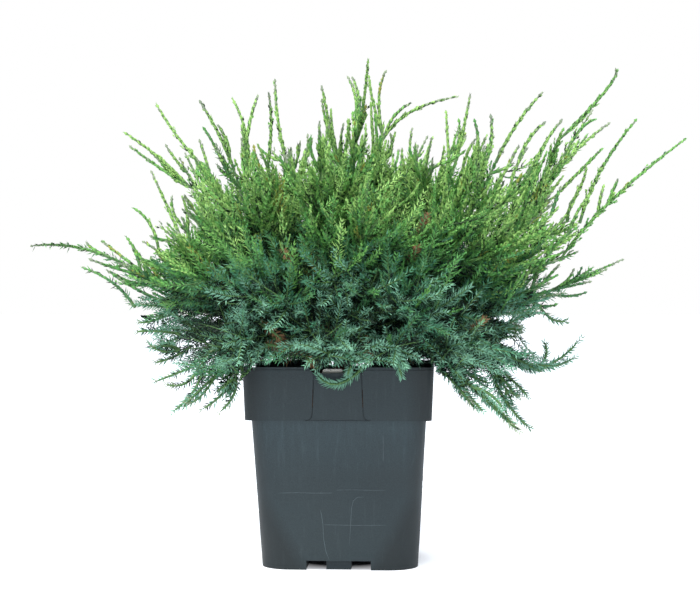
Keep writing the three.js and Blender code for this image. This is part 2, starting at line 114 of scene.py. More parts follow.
def mesh_of_triangles(name, vertices, triangles, finish_of_face=None, smooth=False):
    """A mesh from whole arrays: points in millimetres, triangles, and each one's finish."""
    mesh = bpy.data.meshes.new(name)
    mesh.vertices.add(len(vertices))
    mesh.vertices.foreach_set("co", (vertices * MM).astype(np.float32).ravel())
    mesh.loops.add(triangles.size)
    mesh.loops.foreach_set("vertex_index", triangles.astype(np.int32).ravel())
    mesh.polygons.add(len(triangles))
    mesh.polygons.foreach_set("loop_start", np.arange(0, triangles.size, 3, dtype=np.int32))
    if finish_of_face is not None:
        mesh.polygons.foreach_set("material_index", finish_of_face.astype(np.int32))
    mesh.polygons.foreach_set("use_smooth", np.full(len(triangles), smooth))
    mesh.update(calc_edges=True)
    return mesh


def mix(low, high, share):
    return low + (high - low) * share


def smooth_step(value, low, high):
    """0 up to low and 1 from high on, with an S-shaped rise between them."""
    share = np.clip((value - low) / (high - low), 0, 1)
    return share * share * (3 - 2 * share)


# %% [markdown]
# ## Finishes
#
# A finish starts from the real substance. Its colours are written as the sRGB hex values that a
# maker would read off a colour card, and one function turns them to the linear light that a
# renderer adds up. One more function adds a shader node with its settings and links.

# %% Colours and shader nodes
def linear(hex_colour):
    """The linear colour of an sRGB hex value such as #46504f."""
    channels = [int(hex_colour[i:i + 2], 16) / 255 for i in (1, 3, 5)]
    return [c / 12.92 if c <= 0.04045 else ((c + 0.055) / 1.055) ** 2.4 for c in channels] + [1]


def add(tree, kind, inputs=None, **settings):
    """Adds one node. An input is a value, another node's socket, or a node for its first one."""
    node = tree.nodes.new("ShaderNode" + kind)
    for name, value in settings.items():
        setattr(node, name, value)
    for key, value in (inputs or {}).items():
        source = value.outputs[0] if isinstance(value, bpy.types.Node) else value
        if isinstance(source, bpy.types.NodeSocket):
            tree.links.new(source, node.inputs[key])
        else:
            node.inputs[key].default_value = source
    return node


def finish(name):
    """A new material with an empty node tree."""
    material = bpy.data.materials.new(name)
    material.use_nodes = True
    material.node_tree.nodes.clear()
    return material, material.node_tree


def close(tree, **surface):
    """Ends a material in one Principled shader. Keys are its sockets, with _ for a space."""
    inputs = {key.replace("_", " "): value for key, value in surface.items()}
    add(tree, "OutputMaterial", {"Surface": add(tree, "BsdfPrincipled", inputs)})


# %% [markdown]
# ### Recycled polypropylene
#
# A nursery pot is injection moulded from recycled polypropylene, tinted dark slate grey. The
# mould is spark-eroded, so the skin has a fine even grain and only a broad, faint shine. Flow of
# the melt leaves cloudy bands a few centimetres wide, and handling leaves pale scuffs and dust
# that runs down with each watering. Grain, clouds and streaks are three noises at those sizes. The
# grain is really about 0.2 mm. It is drawn at 1.2 mm, because a pixel of the render covers 1.3 mm.
#
# Each flat face is lighter in streaks from 110 mm up to just under the band. The round corners
# are painted darker, as shade, since they face away from the light in front. They widen towards
# the foot, so how far a face is flat beside its middle is worked out from the height.

# %% Pot plastic
GRAIN_MM = 1.2
CLOUD_MM = 70
STREAK_MM = (5, 5, 60)
# How the flat faces grow lighter in streaks, from 110 mm up to just under the band.
BAND_LIGHTENING = {"from_mm": 110, "full_mm": 172, "band_mm": 181, "gain": 0.95, "without": 0.92}
# Where each face stops being flat. Past it, the round corners get painted shade, down to CORNER_SHADE.
FLAT = {"foot_half_mm": 40, "widening": 0.54, "most_half_mm": 90, "blend_mm": (-9, 11)}
CORNER_SHADE = 0.54


def pot_plastic():
    material, tree = finish("recycled_polypropylene")
    place = add(tree, "TexCoord").outputs["Object"]
    clouds = add(tree, "TexNoise", {"Vector": place, "Scale": 1000 / CLOUD_MM, "Detail": 4,
                                    "Roughness": 0.6})
    drawn = add(tree, "Mapping", {"Vector": place, "Scale": [1000 / mm for mm in STREAK_MM]})
    streaks = add(tree, "TexNoise", {"Vector": drawn, "Scale": 1.0, "Detail": 5, "Roughness": 0.7})
    grain = add(tree, "TexNoise", {"Vector": place, "Scale": 1000 / GRAIN_MM, "Detail": 2})
    colour = add(tree, "Mix", {0: clouds, 6: linear("#172327"), 7: linear("#233035")},
                 data_type="RGBA")
    for pattern, low, high, most, tone in ((streaks, 0.56, 0.8, 0.2, "#4a565a"),
                                           (grain, 0.35, 0.75, 0.22, "#38464b")):
        share = add(tree, "MapRange", {"Value": pattern, "From Min": low, "From Max": high,
                                       "To Max": most})
        colour = add(tree, "Mix", {0: share, 6: colour.outputs[2], 7: linear(tone)},
                     data_type="RGBA")
    axes = add(tree, "SeparateXYZ", {0: place}).outputs
    x, y = [add(tree, "Math", {0: axes[key]}, operation="ABSOLUTE") for key in "XY"]
    beside = add(tree, "Math", {0: x, 1: y}, operation="MINIMUM")
    widening = add(tree, "Math", {0: axes["Z"], 1: FLAT["widening"], 2: FLAT["foot_half_mm"] * MM},
                   operation="MULTIPLY_ADD")
    flat_half = add(tree, "Math", {0: widening, 1: FLAT["most_half_mm"] * MM}, operation="MINIMUM")
    past_flat = add(tree, "Math", {0: beside, 1: flat_half}, operation="SUBTRACT")
    # Painted shade: the round corners are darkened, over a zone that widens towards the foot.
    painted_corner_shade = add(tree, "MapRange", {"Value": past_flat, "From Min": FLAT["blend_mm"][0] * MM,
                                    "From Max": FLAT["blend_mm"][1] * MM, "To Min": 1.0,
                                    "To Max": CORNER_SHADE})
    # Lighter in streaks from 110 mm up, but not on the band itself.
    rising_to_band = add(tree, "MapRange", {"Value": axes["Z"], "From Min": BAND_LIGHTENING["from_mm"] * MM,
                                     "From Max": BAND_LIGHTENING["full_mm"] * MM, "To Max": BAND_LIGHTENING["gain"]})
    under_band = add(tree, "Math", {0: axes["Z"], 1: BAND_LIGHTENING["band_mm"] * MM}, operation="LESS_THAN")
    lightening = add(tree, "Math", {0: rising_to_band, 1: under_band}, operation="MULTIPLY")
    lighter = add(tree, "Math", {0: lightening, 1: streaks, 2: BAND_LIGHTENING["without"]},
                  operation="MULTIPLY_ADD")
    shade = add(tree, "Math", {0: painted_corner_shade, 1: lighter}, operation="MULTIPLY")
    # The colour, darkened by the painted corner shade and lightened towards the band.
    colour_with_painted_shade = add(tree, "VectorMath", {0: colour.outputs[2], "Scale": shade}, operation="SCALE")
    rough = add(tree, "MapRange", {"Value": clouds, "To Min": 0.46, "To Max": 0.66})
    bump = add(tree, "Bump", {"Height": grain, "Strength": 0.25, "Distance": 0.4 * MM})
    close(tree, Base_Color=colour_with_painted_shade, Roughness=rough, Normal=bump, IOR=1.49, Specular_IOR_Level=0.35)
    return material


# %% [markdown]
# ### Potting mix, bark, tag
#
# The mix is peat with composted bark: dark, matt and crumbly, with redder chips in it. Juniper
# bark is thin and reddish brown, and peels in long strips, so its noise is drawn out along the
# limb. The tag is extruded polystyrene, smooth and white, left blank.

# %% Potting mix, bark chips, bark, young twigs, tag
def earthy(name, dark, light, size_mm, rough, relief_mm, stretch=(1, 1, 1)):
    """A matt natural stuff: two colours in patches of a size, with a relief of that size."""
    material, tree = finish(name)
    place = add(tree, "TexCoord").outputs["Object"]
    drawn = add(tree, "Mapping", {"Vector": place, "Scale": stretch})
    patches = add(tree, "TexNoise", {"Vector": drawn, "Scale": 1000 / size_mm, "Detail": 6,
                                     "Roughness": 0.65})
    sharper = add(tree, "MapRange", {"Value": patches, "From Min": 0.3, "From Max": 0.7})
    colour = add(tree, "Mix", {0: sharper, 6: linear(dark), 7: linear(light)}, data_type="RGBA")
    bump = add(tree, "Bump", {"Height": patches, "Strength": 0.8, "Distance": relief_mm * MM})
    close(tree, Base_Color=colour.outputs[2], Roughness=rough, Normal=bump)
    return material


PEAT = earthy("moist_peat_mix", "#120d0a", "#33251b", 5, 0.95, 2)
CHIP = earthy("composted_bark_chip", "#2a1a12", "#6a452e", 6, 0.9, 1)
PERLITE = earthy("perlite_grain", "#a9a59c", "#dedbd2", 2, 0.9, 0.5)
BARK = earthy("peeling_juniper_bark", "#3a241a", "#94694a", 5, 0.85, 1.2, stretch=(1, 1, 0.18))
TWIG = earthy("young_juniper_twig", "#4b3c26", "#75663c", 6, 0.8, 0.3)
GREEN_TWIG = earthy("green_juniper_twig", "#2f5230", "#53793c", 6, 0.7, 0.3)
RUBBED_PLASTIC = earthy("rubbed_polypropylene", "#263237", "#46545a", 9, 0.5, 0.05)
TAG_WHITE = earthy("white_polystyrene_tag", "#d9d5cd", "#eceae4", 12, 0.4, 0.05)
POT_PLASTIC = pot_plastic()

# %% [markdown]
# ### Leaves
#
# A juniper leaf is green under a thin wax bloom. The wax makes low foliage look blue, and young
# growth at the top is yellower. On a real plant each shoot has one tint all over, so a tint is a
# plain colour, dealt out by shoot. Only the wax varies within a leaf, as a soft change in how
# rough it is. Old inner shoots that have lost the light dry to a reddish brown. Deep inside the
# crown, where leaves shade each other many times over, two very dark tints stand for that shade.

# %% Leaf tints, from the blue-green of the low foliage to the yellow-green of young growth
# Each has its colour, its roughness and how strong the wax bloom is. The first six are in order.
TINTS = {
    "bluish_wax_leaf": ("#64927b", 0.62, 0.02),
    "sea_green_leaf": ("#43785c", 0.6, 0.0),
    "deep_green_leaf": ("#417249", 0.58, 0.0),
    "mid_green_leaf": ("#528b49", 0.55, 0.0),
    "fresh_green_leaf": ("#689d51", 0.52, 0.0),
    "young_yellow_green_leaf": ("#88b062", 0.5, 0.0),
    "grey_green_tip_leaf": ("#7f8d76", 0.6, 0.0),
    "olive_leaf": ("#858c42", 0.58, 0.0),
    "dry_brown_leaf": ("#5f4830", 0.75, 0.0),
    "shaded_sea_green_leaf": ("#0d2018", 0.65, 0.0),
    "shaded_green_leaf": ("#152d13", 0.62, 0.0),
}
GREENS = 6
GREY_TIP, OLIVE, DRY_BROWN, SHADED_SEA_GREEN, SHADED_GREEN = range(GREENS, len(TINTS))
WAX_PATCH_MM = 4


def leaf_finish(name):
    colour, rough, bloom = TINTS[name]
    material, tree = finish(name)
    place = add(tree, "TexCoord").outputs["Object"]
    wax = add(tree, "TexNoise", {"Vector": place, "Scale": 1000 / WAX_PATCH_MM, "Detail": 1})
    rough_wax = add(tree, "MapRange", {"Value": wax, "To Min": rough - 0.1, "To Max": rough + 0.1})
    close(tree, Base_Color=linear(colour), Roughness=rough_wax, Specular_IOR_Level=0.2,
          Sheen_Weight=bloom, Sheen_Roughness=0.5)
    return material


LEAVES = [leaf_finish(name) for name in TINTS]
print(len(LEAVES), "leaf tints")

# %% [markdown]
# ## Studio
#
# The plant stands on a pale floor in even white light, as on a catalogue page. The camera is
# level, a little above the pot's rim, 2 m away, and looks past the pot 3 degrees from square. The
# backdrop is white, so the floor runs out into it with no horizon. To be as white as that, the
# floor glows a little by itself, except close to the pot, where its shadow falls. The room is
# lighter above than in front, and dim below, so the inside of the crown stays dark. One large
# soft lamp hangs high up in front, a little to the left, and gives the shoots a light side.

# %% Camera, floor and lights
CAMERA = {"distance": 2000, "height": 326, "turn_deg": 3, "aside": 8.9, "focal_px": 1581}
PHOTO_WIDTH_PX, PHOTO_HEIGHT_PX = 700, 599
SENSOR_MM = 36
FLOOR = {"half": 30000, "drop": 0.2, "glow_from": 60, "glow_full": 115, "glow": 0.72}
LAMP_AIM = Vector((0, 0, 0.35))


def make_camera():
    data = bpy.data.cameras.new("camera")
    data.sensor_fit = "HORIZONTAL"
    data.sensor_width = SENSOR_MM
    data.lens = CAMERA["focal_px"] / PHOTO_WIDTH_PX * SENSOR_MM
    camera = place_in_scene("camera", data)
    turn = math.radians(CAMERA["turn_deg"])
    away = Vector((math.sin(turn), -math.cos(turn), 0)) * CAMERA["distance"]
    right = Vector((math.cos(turn), math.sin(turn), 0)) * CAMERA["aside"]
    camera.location = (away + right + Vector((0, 0, CAMERA["height"]))) * MM
    camera.rotation_euler = (math.pi / 2, 0, turn)
    bpy.context.scene.camera = camera
    return camera


def make_floor():
    material, tree = finish("pale_paper_floor")
    place = add(tree, "TexCoord").outputs["Object"]
    level = add(tree, "VectorMath", {0: place, 1: (1, 1, 0)}, operation="MULTIPLY")
    away = add(tree, "VectorMath", {0: level}, operation="LENGTH")
    glow = add(tree, "MapRange", {"Value": away.outputs["Value"],
                                  "From Min": FLOOR["glow_from"] * MM,
                                  "From Max": FLOOR["glow_full"] * MM, "To Max": FLOOR["glow"]})
    close(tree, Base_Color=linear("#c9ccd0"), Roughness=0.9, Emission_Color=linear("#fbfcff"),
          Emission_Strength=glow)
    half = FLOOR["half"]
    floor = mesh_of("floor", [(-half, -half, 0), (half, -half, 0), (half, half, 0),
                              (-half, half, 0)], [(0, 1, 2, 3)], smooth=False)
    floor.materials.append(material)
    piece = place_in_scene("floor", floor)
    piece.location.z = -FLOOR["drop"] * MM
    piece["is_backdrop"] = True


def make_light(name, place, size, watts, colour):
    data = bpy.data.lights.new(name, "AREA")
    data.shape, data.size, data.energy = "DISK", size, watts
    data.color = linear(colour)[:3]
    light = place_in_scene(name, data)
    light.location = place
    aim = LAMP_AIM - light.location
    light.rotation_euler = aim.to_track_quat("-Z", "Y").to_euler()


def make_world():
    world = bpy.data.worlds.new("white_studio")
    world.use_nodes = True
    tree = world.node_tree
    tree.nodes.clear()
    way = add(tree, "SeparateXYZ", {0: add(tree, "TexCoord").outputs["Generated"]})
    from_above = add(tree, "MapRange", {"Value": way.outputs["Z"], "To Min": 0.2, "To Max": 2.0})
    from_front = add(tree, "MapRange", {"Value": way.outputs["Y"], "From Min": -1,
                                        "From Max": -0.6, "To Min": 0.35, "To Max": 0.0})
    both = add(tree, "Math", {0: from_above, 1: from_front}, operation="ADD")
    room = add(tree, "Background", {"Color": linear("#eef5ff"), "Strength": both})
    backdrop = add(tree, "Background", {"Color": linear("#ffffff")})
    seen = add(tree, "LightPath").outputs["Is Camera Ray"]
    shown = add(tree, "MixShader", {0: seen, 1: room, 2: backdrop})
    add(tree, "OutputWorld", {"Surface": shown})
    bpy.context.scene.world = world
    bpy.context.scene.view_settings.view_transform = "Standard"


camera = make_camera()
make_floor()
make_world()
make_light("key", (-0.7, -1.6, 3.1), 1.2, 190, "#fffaf0")
print("camera lens", round(camera.data.lens, 1), "mm")

# %% [markdown]
# ## The pot
#
# The pot is one thin wall, so it is made as the mould makes it: an outer form, less an inner
# form, less what the mould's inserts keep open. Rings of points are lofted into each form, and
# Boolean modifiers cut them. The rings have many more points round their corners than the CAD
# has, and a last bevel rounds each edge by half a millimetre, as every moulded edge is.

# %% Sizes of the pot, as in the CAD
RIM_HEIGHT, RIM_HALF, RIM_CORNER = 245, 115, 10
BAND_FOOT_HEIGHT, BAND_FOOT_HALF = 181, 112.4
BODY_TOP_HALF, BODY_TOP_CORNER = 105.6, 15
BODY_FOOT_HALF, BODY_FOOT_CORNER = 95.4, 36
WALL = 2
SOIL_HEIGHT = 231
LIP_DIP = {"depth": 7, "floor_half": 28, "shoulder": 7}
LIP_GROOVE = ((0.1, 3.4), (0.7, 3.0), (0.6, 2.4), (0, 2.0))
PANEL = {"recess": 0.8, "top_half": 27.5, "foot_half": 30, "flare": 9}
GROOVE = {"width": 1.1, "depth": 1.7}
CHANNEL = {"width": 24, "height": 11, "rib_half": 15}
NOTCH_SETBACK = 5
DRAIN_HOLE_RADIUS = 6
CORNER_STEPS, HOLE_STEPS = 14, 24
EDGE_ROUNDING = 0.5
BODY_LEVELS = (45, 90, 135)


def square_ring(half, corner, height):
    """A square with round corners, counter-clockwise from above."""
    ring = []
    for side in range(4):
        middle = side * math.pi / 2 + math.pi / 4
        x = math.sqrt(2) * (half - corner) * math.cos(middle)
        y = math.sqrt(2) * (half - corner) * math.sin(middle)
        for step in range(CORNER_STEPS + 1):
            angle = middle - math.pi / 4 + math.pi / 2 * step / CORNER_STEPS
            ring.append((x + corner * math.cos(angle), y + corner * math.sin(angle), height))
    return ring


def bands(rings, count, start=0):
    """The four-sided faces between rings of points that follow one another."""
    return [(k + i, k + (i + 1) % count, k + (i + 1) % count + count, k + i + count)
            for k in range(start, start + (rings - 1) * count, count) for i in range(count)]


def loft(name, rings):
    """A closed form through rings of points, with a flat foot and top."""
    count = len(rings[0])
    last = (len(rings) - 1) * count
    faces = [range(count)[::-1], *bands(len(rings), count), range(last, last + count)]
    return facing_out(mesh_of(name, [point for ring in rings for point in ring], faces,
                              smooth=False))


def body_at(height):
    share = height / BAND_FOOT_HEIGHT
    return (mix(BODY_FOOT_HALF, BODY_TOP_HALF, share), mix(BODY_FOOT_CORNER, BODY_TOP_CORNER, share))


def band_at(height):
    share = (height - BAND_FOOT_HEIGHT) / (RIM_HEIGHT - BAND_FOOT_HEIGHT)
    return (mix(BAND_FOOT_HALF, RIM_HALF, share), RIM_CORNER)


def pot_form(name, inset, foot, top, ledge, lip=False):
    """The pot's face, taken in by an inset. A lip has a shallow groove, as back and below pairs."""
    step = BAND_FOOT_HEIGHT + ledge
    levels = [(body_at(h), h) for h in (foot, *BODY_LEVELS, step)]
    levels += [(band_at(step), step + 0.01)]
    if lip:
        half, corner = band_at(top)
        levels += [((half - back, corner), top - below) for back, below in LIP_GROOVE]
    levels += [(band_at(top), top)]
    return loft(name, [square_ring(half - inset, max(corner - inset, 2), height)
                       for (half, corner), height in levels])


# %% [markdown]
# The cutters follow the mould's inserts: boxes for the drainage channels and the notches at the
# foot, a dip in each side of the lip, and a panel that lies 0.8 mm back from the band's face. In
# the photo a fine dark line runs down each edge of that panel, so a deeper groove 1.1 mm wide is
# cut along the outline as well.

# %% Cutters for the channels, dips, panels and holes
def box_mesh(name, low, high):
    ring = [(low[0], low[1]), (high[0], low[1]), (high[0], high[1]), (low[0], high[1])]
    return loft(name, [[(x, y, z) for x, y in ring] for z in (low[2], high[2])])


def prism(name, outline, near, far):
    """An outline in X and Z, drawn along -Y from near to far."""
    return loft(name, [[(x, -y, z) for x, z in outline] for y in (far, near)])


def channel_boxes(skin):
    near, far = CHANNEL["rib_half"] - skin, CHANNEL["rib_half"] + CHANNEL["width"] + skin
    reach, foot, top = RIM_HALF + 20, -10, CHANNEL["height"] + skin
    boxes = []
    for side in (-1, 1):
        low, high = sorted((side * near, side * far))
        boxes += [((low, -reach, foot), (high, reach, top)),
                  ((-reach, low, foot), (reach, high, top))]
        low, high = sorted((side * (BODY_FOOT_HALF - NOTCH_SETBACK - skin), side * reach))
        boxes += [((-far, low, foot), (far, high, top)), ((low, -far, foot), (high, far, top))]
    return boxes


def dip_outline():
    half, slope, depth = LIP_DIP["floor_half"], LIP_DIP["shoulder"], LIP_DIP["depth"]
    right = [(half + slope * share * 1.2, RIM_HEIGHT - depth * (1 - smooth_step(share, 0, 1)))
             for share in np.arange(7) / 7]
    right.append((half + slope + 4, RIM_HEIGHT + 5))
    return right + [(-x, z) for x, z in reversed(right)]


def panel_edge():
    """The panel's right edge from the rim down, flaring out round the side panel's corner."""
    flare, half = PANEL["flare"], PANEL["foot_half"]
    edge = [(PANEL["top_half"], RIM_HEIGHT + 5), (half, BAND_FOOT_HEIGHT + flare)]
    for share in np.arange(1, 7) / 6:
        edge.append((half + flare * share * share, BAND_FOOT_HEIGHT + flare * (1 - share) ** 2))
    return edge


def panel_outline():
    right = panel_edge() + [(PANEL["foot_half"] + PANEL["flare"], BAND_FOOT_HEIGHT - 4)]
    return right + [(-x, z) for x, z in reversed(right)]


def groove_outline():
    """A thin strip along the panel's right edge."""
    edge, width = panel_edge(), GROOVE["width"]
    return edge + [(x + width, z + width * 0.5) for x, z in reversed(edge)]


def cut(piece, cutter_meshes):
    """Cuts meshes out of a piece with Boolean modifiers, and keeps the result as its mesh."""
    cutters = [place_in_scene("cutter", mesh) for mesh in cutter_meshes]
    for cutter in cutters:
        modifier = piece.modifiers.new("cut", "BOOLEAN")
        modifier.object, modifier.operation, modifier.solver = cutter, "DIFFERENCE", "EXACT"
    apply_modifiers(piece)
    for cutter in cutters:
        bpy.data.objects.remove(cutter)


def apply_modifiers(piece):
    evaluated = piece.evaluated_get(bpy.context.evaluated_depsgraph_get())
    mesh = bpy.data.meshes.new_from_object(evaluated)
    piece.modifiers.clear()
    piece.data = mesh


def turned(mesh, quarter, lean=0.0):
    """A copy of a mesh, turned about Z by quarters. lean tips it back about the band's foot."""
    copy = mesh.copy()
    points = np.empty(len(copy.vertices) * 3)
    copy.vertices.foreach_get("co", points)
    x, y, z = points.reshape(-1, 3).T / MM
    height = z - BAND_FOOT_HEIGHT
    y = y * math.cos(lean) - height * math.sin(lean)
    z = BAND_FOOT_HEIGHT + height * math.cos(lean)
    for _ in range(quarter):
        x, y = -y, x
    copy.vertices.foreach_set("co", (np.stack([x, y, z], 1) * MM).ravel())
    return copy


# %% Build the pot
def make_pot():
    pot = show(pot_form("nursery_pot", 0, 0, RIM_HEIGHT, 0, lip=True), [POT_PLASTIC])
    inside = place_in_scene("inside", pot_form("hollow", WALL, WALL, RIM_HEIGHT + 6, WALL))
    cut(inside, [box_mesh("channel", *ends) for ends in channel_boxes(WALL)])
    cutters = [inside.data.copy()]
    bpy.data.objects.remove(inside)
    cutters += [box_mesh("channel", *ends) for ends in channel_boxes(0)]
    centre = CHANNEL["rib_half"] + CHANNEL["width"] / 2
    for x in (-centre, centre):
        for y in (-centre, centre):
            ring = [(x + DRAIN_HOLE_RADIUS * math.cos(a), y + DRAIN_HOLE_RADIUS * math.sin(a))
                    for a in np.linspace(0, 2 * math.pi, HOLE_STEPS + 1)[:-1]]
            cutters.append(loft("hole", [[(px, py, z) for px, py in ring] for z in (2, 30)]))
    lean = math.atan2(RIM_HALF - BAND_FOOT_HALF, RIM_HEIGHT - BAND_FOOT_HEIGHT)
    dip = prism("dip", dip_outline(), RIM_HALF - 8, RIM_HALF + 6)
    face = BAND_FOOT_HALF - PANEL["recess"]
    panel = prism("panel", panel_outline(), face, face + 8)
    deep, line = BAND_FOOT_HALF - GROOVE["depth"], groove_outline()
    groove = prism("groove", line, deep, face + 8)
    mirrored = prism("groove", [(-x, z) for x, z in reversed(line)], deep, face + 8)
    for quarter in range(4):
        cutters.append(turned(dip, quarter))
        cutters += [turned(form, quarter, lean) for form in (panel, groove, mirrored)]
    cut(pot, cutters)
    rounding = pot.modifiers.new("moulded_edges", "BEVEL")
    rounding.width, rounding.segments = EDGE_ROUNDING * MM, 2
    rounding.limit_method, rounding.angle_limit = "ANGLE", math.radians(38)
    rounding.use_clamp_overlap = True
    apply_modifiers(pot)
    pot.data.polygons.foreach_set("use_smooth", [True] * len(pot.data.polygons))
    pot.data.set_sharp_from_angle(angle=math.radians(32))
    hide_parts("pot")
    return pot


pot = make_pot()
print("pot faces:", len(pot.data.polygons), "box", [round(v / MM, 1) for v in pot.dimensions])

# %% [markdown]
# Faint lines stand out on the pot's faces where the halves of the mould and its inserts meet.
# They are a few tenths of a millimetre high and rubbed pale, so each is a slim half-round strip of
# its own on the wall. The front has a long scratch as well, high on the right. All are written as
# across and up on a face, in millimetres.

# %% Mould lines on each face
MOULD_LINES = [
    [(-73, 93), (-50, 93.6), (-30, 93.2), (-6, 93.5)],
    [(-3, 97), (18, 97.6), (40, 97), (57, 97.3)],
    [(-19, 55), (20, 54.5), (58, 55)],
    [(-22, 74), (-20, 66), (-18.6, 55), (-17.8, 38), (-15, 22), (-11, 12)],
    [(32, 89), (23, 88.5), (18, 84), (16, 75), (15.2, 62), (14.4, 48), (13, 30)],
]
SCRATCHES = [[(54, 164), (54.3, 150), (54, 131)]]
LINE_HALF_WIDTH, LINE_HEIGHT, LINE_ROOT = 0.4, 0.3, 0.15


def make_mould_lines():
    vertices, faces = [], []
    for quarter in range(4):
        for line in MOULD_LINES + SCRATCHES * (quarter == 0):
            shares, knots = np.linspace(0, 1, 4 * len(line)), np.linspace(0, 1, len(line))
            x, z = [np.interp(shares, knots, values) for values in zip(*line)]
            way = np.stack([np.gradient(x), np.gradient(z)], 1)
            way /= np.linalg.norm(way, axis=1)[:, None]
            start = len(vertices)
            for k, (px, pz) in enumerate(zip(x, z)):
                fade = math.sin(math.pi * min(1, 0.02 + 3 * min(shares[k], 1 - shares[k])) / 2)
                face = body_at(pz)[0]
                aside = np.array([-way[k][1], way[k][0]]) * LINE_HALF_WIDTH
                for step, out in ((-1, -LINE_ROOT), (0, LINE_HEIGHT * fade), (1, -LINE_ROOT)):
                    point = [px + aside[0] * step, -(face + out), pz + aside[1] * step]
                    for _ in range(quarter):
                        point[0], point[1] = -point[1], point[0]
                    vertices.append(point)
                if k:
                    a = start + 3 * k
                    faces += [(a - 3, a - 2, a + 1, a), (a - 2, a - 1, a + 2, a + 1)]
    lines = show(mesh_of("mould_lines", vertices, faces), [RUBBED_PLASTIC])
    return lines


mould_lines = make_mould_lines()
print("mould lines:", len(mould_lines.data.polygons), "faces")

# %% [markdown]
# ## Potting mix and tag
#
# The mix is a crumbly, uneven surface, so its top is a round net of points pulled out to the
# pot's square and lifted by noise. Chips of bark and a few white grains of perlite lie on it,
# each a lump with its own proportions, half sunk in.

# %% Potting mix with its chips
SOIL_ROUGHNESS = 3.2
SOIL_RINGS, SOIL_DEPTH = 34, 34
CHIP_COUNT, PERLITE_COUNT = 420, 90
CHIP_REACH = 106


def soil_height(x, y):
    return SOIL_HEIGHT + SOIL_ROUGHNESS * (noise.noise(Vector((x, y, 0)) / 26)
                                           + 0.5 * noise.noise(Vector((x, y, 9)) / 9))


def make_potting_mix():
    half, corner = band_at(SOIL_HEIGHT)
    rim = square_ring(half - WALL - 0.3, corner, SOIL_HEIGHT)
    vertices = [(0, 0, soil_height(0, 0))]
    for k in range(1, SOIL_RINGS + 1):
        for x, y, _ in rim:
            x, y = x * k / SOIL_RINGS, y * k / SOIL_RINGS
            vertices.append((x, y, soil_height(x, y)))
    vertices += [(x, y, SOIL_HEIGHT - SOIL_DEPTH) for x, y, _ in rim]
    count = len(rim)
    faces = [(0, 1 + i, 1 + (i + 1) % count) for i in range(count)]
    faces += [(a, d, c, b) for a, b, c, d in bands(SOIL_RINGS + 1, count, 1)]
    faces.append([1 + SOIL_RINGS * count + i for i in range(count)][::-1])
    soil = show(mesh_of("potting_mix_surface", vertices, faces), [PEAT])
    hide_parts("potting_mix")


CHIP_FORM = np.array([(-1, 0, 0), (1, 0, 0), (0, -1, 0), (0, 1, 0), (-.3, 0.2, -1), (.2, -.3, 1),
                      (.62, .6, .35), (-.6, -.62, .4), (.58, -.6, -.3), (-.6, .6, -.35)], float)
CHIP_FACES = [(5, 1, 6), (5, 6, 3), (5, 3, 0), (5, 0, 7), (5, 7, 2), (5, 2, 1), (4, 6, 1),
              (4, 3, 6), (4, 9, 3), (0, 3, 9), (4, 0, 9), (4, 2, 7), (4, 7, 0), (4, 8, 2), (1, 2, 8),
              (4, 1, 8)]


def scatter_chips(name, count, low, high, finish_used, random):
    """Lumps from low to high half-sizes in mm, strewn over the mix."""
    vertices, faces = [], []
    for _ in range(count):
        x, y = random.uniform(-CHIP_REACH, CHIP_REACH, 2)
        size = random.uniform(low, high)
        turn = random.uniform(0, 2 * math.pi)
        tip = random.normal(0, 0.25)
        across, along, up = (CHIP_FORM * size * random.uniform(0.8, 1.2, CHIP_FORM.shape)).T
        px = across * math.cos(turn) - along * math.sin(turn) + x
        py = across * math.sin(turn) + along * math.cos(turn) + y
        pz = up + tip * across + soil_height(x, y) + size[2] * 0.25
        faces += (np.array(CHIP_FACES) + len(vertices)).tolist()
        vertices += np.stack([px, py, pz], 1).tolist()
    piece = show(mesh_of(name, vertices, faces, smooth=False), [finish_used])


make_potting_mix()
chance = np.random.default_rng(4)
scatter_chips("bark_chips", CHIP_COUNT, (3, 1.6, 0.8), (8, 3.6, 2), CHIP, chance)
scatter_chips("perlite", PERLITE_COUNT, (1, 1, 0.8), (2, 1.8, 1.5), PERLITE, chance)


# %% [markdown]
# The tag is a flat strip with round upper corners, pushed into the mix behind the front lip. Its
# print is left off, so it is a plain white label.

# %% Blank tag
def make_tag():
    low, high = np.array(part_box("tag")) / MM
    radius = 2.5
    outline = [(low[0], low[2]), (high[0], low[2])]
    for corner, first in ((high[0] - radius, 0), (low[0] + radius, 90)):
        for step in range(5):
            angle = math.radians(first + 22.5 * step)
            outline.append((corner + radius * math.cos(angle),
                            high[2] - radius + radius * math.sin(angle)))
    tag = show(prism("blank_tag", outline, -high[1], -low[1]), [TAG_WHITE])
    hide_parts("tag")


make_tag()

# %% [markdown]
# ## How the shrub grows
#
# A plant is built by a rule, not by a list of places. The rule here is the CAD's own, written
# again, so every twig lies where its solid lies: a short trunk, one bough for each mass, a main
# shoot that runs on from the bough, leaders that fork off it, and sprays in pairs. Finer orders
# of twigs then follow the same rule, with the leaves on them. Every shoot is one cubic curve.

# %% Curves
def bezier(controls, t):
    """Points on cubic curves. controls ends in (4, 3), and t has a value for each point, or one."""
    s = 1 - t
    weights = np.stack([s ** 3, 3 * s * s * t, 3 * s * t * t, t ** 3], -1)
    return (weights[..., None] * controls).sum(-2)


def heading(controls, t):
    """The way that cubic curves run at t, as unit vectors."""
    s = 1 - t
    weights = np.stack([-s * s, s * s - 2 * s * t, 2 * s * t - t * t, t * t], -1)
    return unit((weights[..., None] * controls).sum(-2))


def span(vectors):
    """The length of each vector."""
    return np.linalg.norm(vectors, axis=-1)


def unit(vectors):
    return vectors / np.maximum(span(vectors)[..., None], 1e-9)


def bent(start, middle, end):
    """The cubic controls of the curve that start, middle and end draw as a plain bend."""
    return np.stack([start, start + (middle - start) * 2 / 3, end + (middle - end) * 2 / 3, end], -2)


